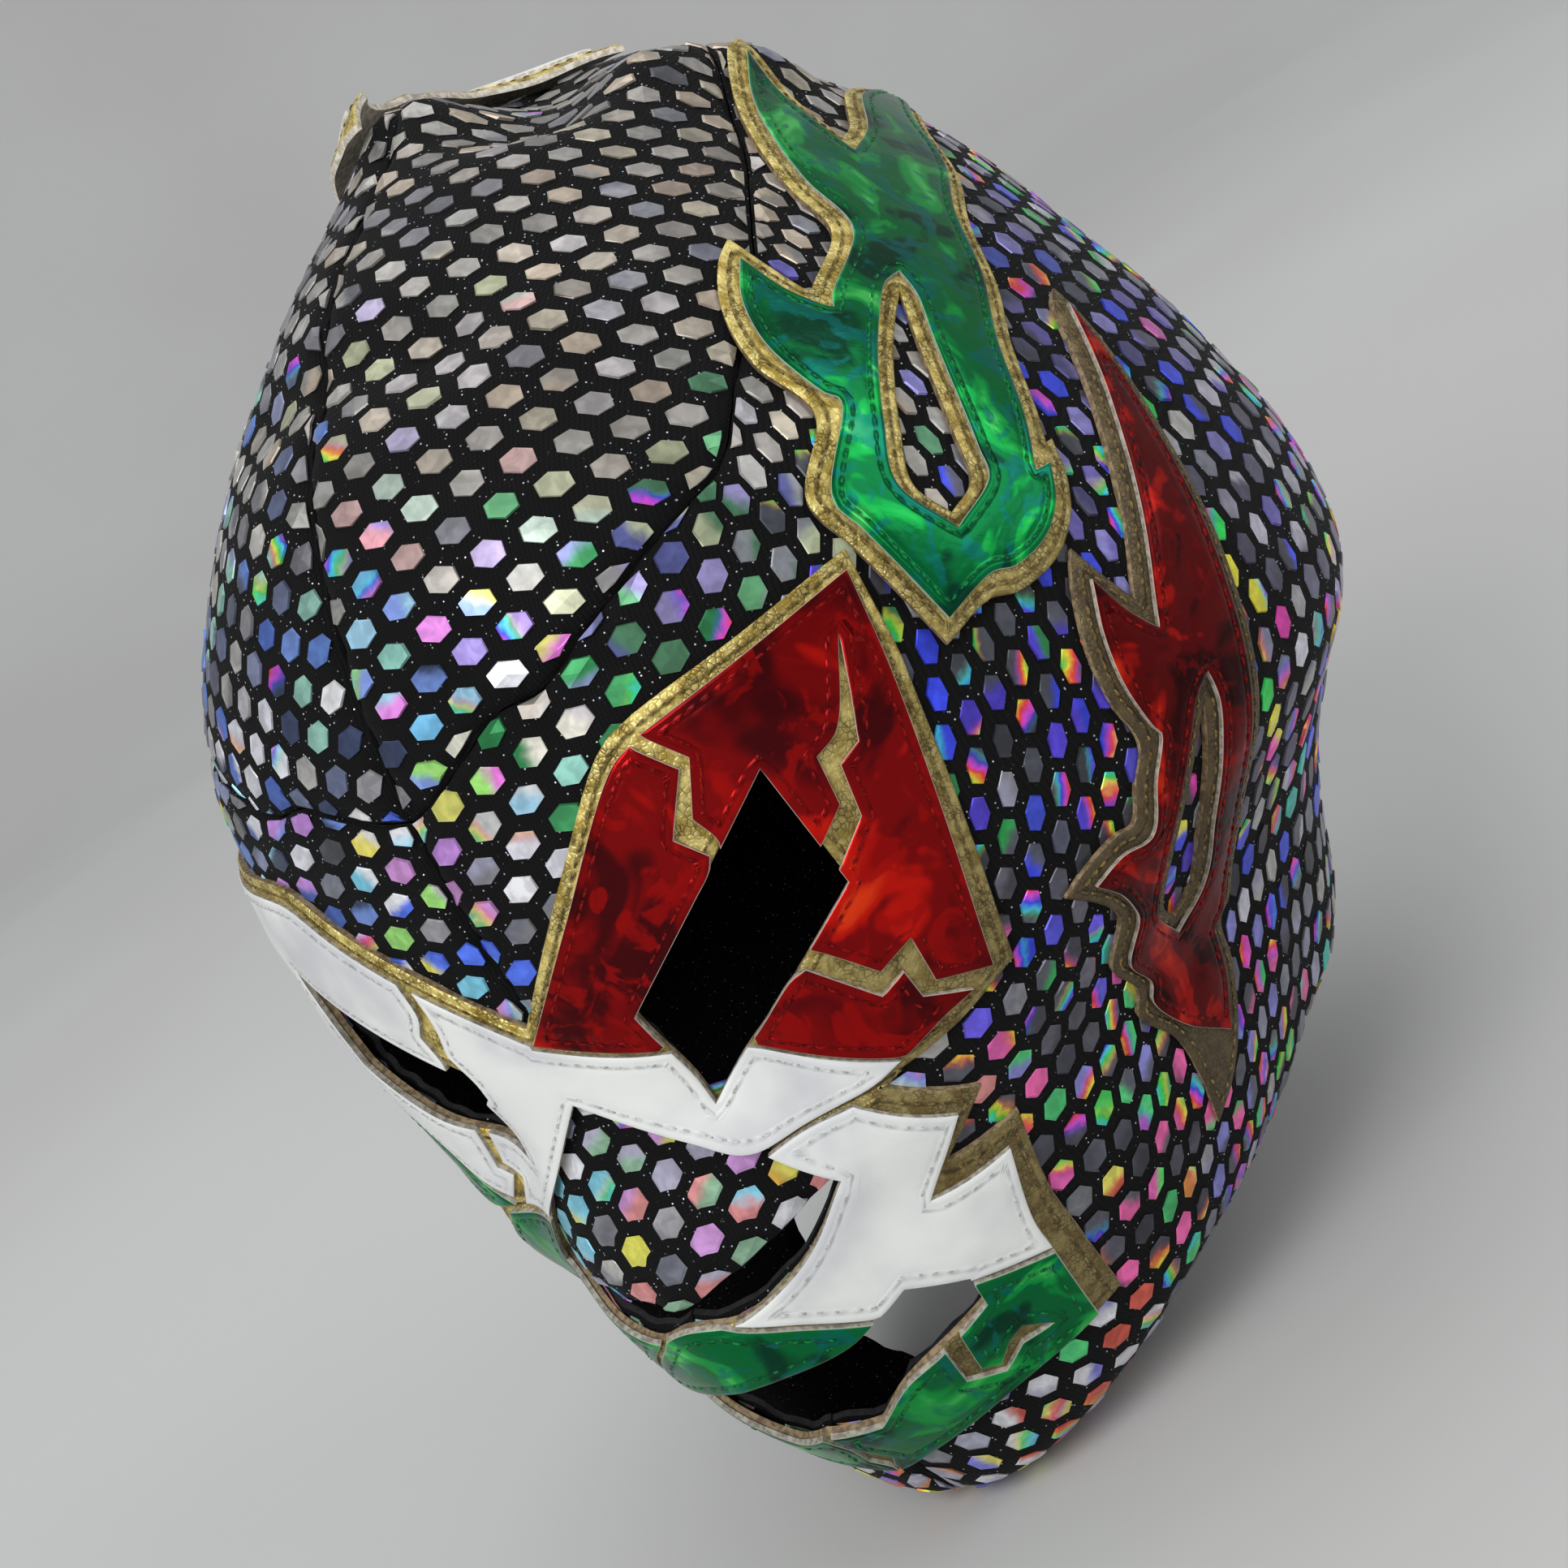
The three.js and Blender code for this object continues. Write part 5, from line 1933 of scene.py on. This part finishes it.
def keep(piece: bpy.types.Object, slot: Slot, *nodes: str) -> bpy.types.Object:
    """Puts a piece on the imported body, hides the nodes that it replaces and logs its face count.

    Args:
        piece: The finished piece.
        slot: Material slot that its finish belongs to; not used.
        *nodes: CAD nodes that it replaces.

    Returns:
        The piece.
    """
    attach(piece, BODY)
    if nodes:
        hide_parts(*nodes)
    LOG.info("%s: %d faces", piece.name, len(piece.data.polygons))
    return piece


def keep_cloth(sheet: LaidSheet, node: str, made: Finishes) -> None:
    """Args:
        sheet: The panel.
        node: The solid that it replaces.
        made: The mask's materials.
    """
    panel = sheet.build(f"{node}_knit", [made.knit, made.knit_edge])
    keep(panel, Slot.KNIT, node)
    flat, area = sheet.outline.cut_size()
    width, length = (side / METRES for side in flat)
    LOG.info("%s is cut to %.0f x %.0f mm, %.0f cm2", node, width, length, area * CM2_PER_M2)


@dataclass
class FaceSurround:
    """Leather, foil and vinyl round the eyes, cheeks and mouth."""

    form: HeadForm
    finishes: Finishes
    backings: tuple[str, ...] = ("eye_backing", "mouth_backing")
    reds: tuple[str, ...] = ("red_strip_left", "red_brow_left", "red_low_left")
    whites: tuple[str, ...] = ("white_bridge", "white_brow_right", "white_cheek_left")
    greens: tuple[str, ...] = (
        "green_low_right", "green_cheek_right", "green_lip", "green_jaw_left", "green_jaw_right",
    )
    covers: list[LaidSheet] = field(default_factory=list)
    border_inset: float = 1.6

    def build(self) -> None:
        """Makes the backings, the skins on them and their stitches."""
        made = self.finishes
        for i, node in enumerate(self.backings):
            sheet = LaidSheet(self.form, node, LEATHER_CUT, 20 + i)
            self.covers.append(sheet)
            keep(sheet.build(f"{node}_leather", [made.gold, made.leather_edge]), Slot.GOLD, node)
        border = StitchRow(self.form, self.border_inset, 31)
        keep(border.build("surround_border_stitches", self.covers, made.gold_thread), Slot.GOLD)
        groups = (
            (self.reds, Slot.RED, made.red, made.red_thread),
            (self.whites, Slot.WHITE, made.white, made.white_thread),
            (self.greens, Slot.GREEN, made.green, made.green_thread),
        )
        for nodes, slot, finish, thread in groups:
            sheets = []
            for i, node in enumerate(nodes):
                sheet = LaidSheet(self.form, node, FILM_CUT, 40 + i)
                sheets.append(sheet)
                keep(sheet.build(f"{node}_film", [finish, made.film_edge]), slot, node)
            stitches = StitchRow(self.form, FILM_CUT.groove_inset, 50)
            keep(stitches.build(f"{slot.value}_surround_stitches", sheets, thread), slot)


@dataclass
class FlameScrolls:
    """Three flame scrolls on their own leather."""

    form: HeadForm
    finishes: Finishes
    covers: list[LaidSheet] = field(default_factory=list)
    stitch_inset: float = 1.5

    def build(self) -> None:
        """Makes the scrolls, their backings and their stitches."""
        made = self.finishes
        scrolls = (
            ("green_scroll", Slot.GREEN, made.green, made.gold, made.green_thread, None),
            ("red_scroll", Slot.RED, made.deep_red, made.dark_gold, made.red_thread, None),
            ("white_scroll", Slot.WHITE, made.white, made.gold, made.white_thread, Lift()),
        )
        for i, (node, slot, finish, leather, thread, lift) in enumerate(scrolls):
            backing = LaidSheet(self.form, f"{node}_backing", SCROLL_LEATHER_CUT, 60 + i, lift)
            top = LaidSheet(self.form, node, SCROLL_FILM_CUT, 70 + i, lift)
            self.covers.append(backing)
            leather_edge, film_edge = made.leather_edge, made.film_edge
            if lift:
                leather_edge = film_edge = made.pale_edge
            leather_piece = backing.build(f"{node}_leather", [leather, leather_edge])
            keep(leather_piece, Slot.GOLD, f"{node}_backing")
            keep(top.build(f"{node}_film", [finish, film_edge]), slot, node)
            border = StitchRow(self.form, self.stitch_inset, 80 + i)
            inner = StitchRow(self.form, self.stitch_inset, 90 + i)
            keep(border.build(f"{node}_border_stitches", [backing], made.gold_thread), Slot.GOLD)
            keep(inner.build(f"{node}_stitches", [top], thread), slot)


@dataclass
class KnitHood:
    """Crown, side and nose panels of dotted knit."""

    form: HeadForm
    finishes: Finishes
    panels: tuple[tuple[str, DotLayout], ...] = (
        ("crown_left", DotLayout(Grain.FORE_AND_AFT, 18, 1)),
        ("crown_right", DotLayout(Grain.FORE_AND_AFT, 16, -1)),
        ("side_left", DotLayout(Grain.UPRIGHT, 31, 1)),
        ("side_right", DotLayout(Grain.UPRIGHT, -31, -1)),
        ("nose_panel", DotLayout(Grain.UPRIGHT, 12, 1)),
    )

    def build(self, covers: list[LaidSheet]) -> None:
        """Makes the panels and their dots.

        Args:
            covers: Appliques that hide some of the dots.
        """
        made = self.finishes
        for i, (node, layout) in enumerate(self.panels):
            sheet = LaidSheet(self.form, node, KNIT_CUT, 10 + i)
            keep_cloth(sheet, node, made)
            over = [] if node == "nose_panel" else covers
            dots = FoilDots(self.form, sheet, layout, 100 + i)
            keep(dots.build(f"{node}_foil_dots", over, made.dots), Slot.KNIT)


@dataclass
class BackClosure:
    """Tongue behind the slit and a flat lace that crosses it through small eyelets."""

    form: HeadForm
    finishes: Finishes
    bottom: float = -37.0
    top: float = 21.0
    crossings: int = 5
    reach: float = 11.0
    eyelet_radius: float = 2.6
    eyelet_wire: float = 0.55
    eyelet_height: float = 1.5
    wire_sides: int = 8
    ring_steps: int = 18

    def eyelet(self) -> Repeats:
        """One eyelet: a round metal ring.

        Returns:
            The ring, in millimetres.
        """
        bm = bmesh.new()
        wire = bmesh.ops.create_circle(bm, segments=self.wire_sides, radius=self.eyelet_wire)["verts"]
        upright = Matrix.Rotation(math.radians(90), 3, "X")
        bmesh.ops.rotate(bm, verts=wire, cent=(0, 0, 0), matrix=upright)
        bmesh.ops.translate(bm, verts=wire, vec=(self.eyelet_radius, 0, 0))
        bmesh.ops.spin(
            bm, geom=[*bm.verts, *bm.edges], cent=(0, 0, 0), axis=(0, 0, 1),
            angle=2 * math.pi, steps=self.ring_steps, use_merge=True,
        )
        return Repeats(bm)

    def build(self) -> None:
        """Makes the tongue, both runs of lace and the eyelets."""
        made = self.finishes
        tongue = LaidSheet(self.form, "closure_tongue", TONGUE_CUT, 15)
        keep_cloth(tongue, "closure_tongue", made)
        over = LaidSheet(self.form, "closure_lace", LACE_CUT, 16)
        keep(over.build("closure_lace_over", [made.lace, made.lace]), Slot.LACE, "closure_lace")
        under = LaidSheet(self.form, "closure_lace", UNDER_LACE_CUT, 17, mirrored=True)
        keep(under.build("closure_lace_under", [made.lace, made.lace]), Slot.LACE)
        rows = np.repeat(np.linspace(self.bottom, self.top, self.crossings + 1), 2)
        sides = np.tile([-1.0, 1.0], self.crossings + 1)
        radius = self.form.radius(direction(180.0 * np.ones(len(rows)), rows))
        aside = np.degrees(self.reach / radius) / np.cos(np.radians(rows))
        towards = direction(180 + sides * aside, rows)
        frames = frames_from(self.form.outward(towards), np.tile([0.0, 0.0, 1.0], (len(rows), 1)))
        ring = self.eyelet()
        origins = self.form.place(towards, self.eyelet_height)
        places = ring.spread(origins, frames, np.ones((len(rows), 3)))
        piece = ring.joined("closure_eyelets", places, self.form, made.metal)
        for polygon in piece.data.polygons:
            polygon.use_smooth = True
        keep(piece, Slot.LACE)


# Studio


@dataclass(frozen=True)
class SoftBox:
    """One square area lamp that faces the mask."""

    name: str
    azimuth: float
    elevation: float
    distance: float
    size: float
    power: float


@dataclass(frozen=True)
class Studio:
    """Plain pale floor that curves up all round, soft lamps and the camera."""

    camera_place: tuple[float, float, float] = (0.23741, -0.32942, -0.02414)
    camera_turn: tuple[float, float, float] = (73.591, 31.915, 28.328)
    lens: float = 55.94
    floor_radius: float = 1.6
    cove: float = 0.8
    cove_steps: int = 12
    floor_steps: int = 96
    aim: tuple[float, float, float] = (0, 0, -0.115)
    air: float = 0.42
    air_tone: tuple[float, float, float, float] = (0.95, 0.97, 1.0, 1)
    lamps: tuple[SoftBox, ...] = (
        SoftBox("key_lamp", 5, 38, 2.1, 1.3, 25),
        SoftBox("side_lamp", 105, 28, 2.1, 1.4, 9),
        SoftBox("top_lamp", 200, 75, 2.1, 1.8, 10),
    )

    def build(self, floor_height: float) -> None:
        """Makes the floor, lamps, world and camera.

        Args:
            floor_height: Height of the floor in metres.
        """
        self._floor(floor_height)
        middle = Vector(self.aim)
        for lamp in self.lamps:
            data = bpy.data.lights.new(lamp.name, "AREA")
            data.energy, data.size = lamp.power, lamp.size
            light = bpy.data.objects.new(lamp.name, data)
            away = Vector(direction(lamp.azimuth, lamp.elevation))
            light.location = middle + away * lamp.distance
            light.rotation_mode = "QUATERNION"
            light.rotation_quaternion = away.to_track_quat("Z", "Y")
            bpy.context.scene.collection.objects.link(light)
        world = bpy.data.worlds.new("studio_air")
        world.use_nodes = True
        background = world.node_tree.nodes["Background"]
        background.inputs["Color"].default_value = self.air_tone
        background.inputs["Strength"].default_value = self.air
        bpy.context.scene.world = world
        data = bpy.data.cameras.new("photo_camera")
        data.lens, data.clip_start = self.lens, 0.01
        camera = bpy.data.objects.new("photo_camera", data)
        camera.location = self.camera_place
        camera.rotation_euler = [math.radians(turn) for turn in self.camera_turn]
        bpy.context.scene.collection.objects.link(camera)
        bpy.context.scene.camera = camera
        bpy.context.scene.view_settings.view_transform = "Standard"

    def _floor(self, height: float) -> None:
        """Spins the floor's profile round the mask.

        Args:
            height: Height of the floor in metres.
        """
        bm = bmesh.new()
        profile = [Vector((0, 0, 0)), Vector((self.floor_radius, 0, 0))]
        for i in range(1, self.cove_steps + 1):
            turn = math.pi / 2 * i / self.cove_steps
            out = self.floor_radius + self.cove * math.sin(turn)
            profile.append(Vector((out, 0, self.cove * (1 - math.cos(turn)))))
        verts = [bm.verts.new(place) for place in profile]
        for pair in zip(verts, verts[1:]):
            bm.edges.new(pair)
        bmesh.ops.spin(
            bm, geom=[*bm.verts, *bm.edges], cent=(0, 0, 0), axis=(0, 0, 1),
            angle=2 * math.pi, steps=self.floor_steps, use_merge=True,
        )
        bmesh.ops.remove_doubles(bm, verts=bm.verts, dist=1e-5)
        bmesh.ops.translate(bm, verts=bm.verts, vec=(0, 0, height))
        bmesh.ops.recalc_face_normals(bm, faces=bm.faces[:])
        for face in bm.faces:
            face.smooth = True
        mesh = bpy.data.meshes.new("studio_floor")
        bm.to_mesh(mesh)
        bm.free()
        sheet = NodeSheet("pale_floor")
        tone = sheet.ramp(sheet.noise(400, 2), ((0.3, "c6c6c4"), (0.7, "cccccb")))
        sheet.set(base_color=tone, roughness=0.85)
        mesh.materials.append(sheet.material)
        floor = bpy.data.objects.new("studio_floor", mesh)
        bpy.context.scene.collection.objects.link(floor)


def main() -> None:
    """Builds the mask and its studio."""
    logging.basicConfig(level=logging.INFO, format="%(message)s")
    form = HeadForm()
    Studio().build(cad_low.z - FLOOR_GAP)
    finishes = Finishes()
    surround = FaceSurround(form, finishes)
    surround.build()
    scrolls = FlameScrolls(form, finishes)
    scrolls.build()
    KnitHood(form, finishes).build(surround.covers + scrolls.covers)
    BackClosure(form, finishes).build()


if __name__ == "__main__":
    main()
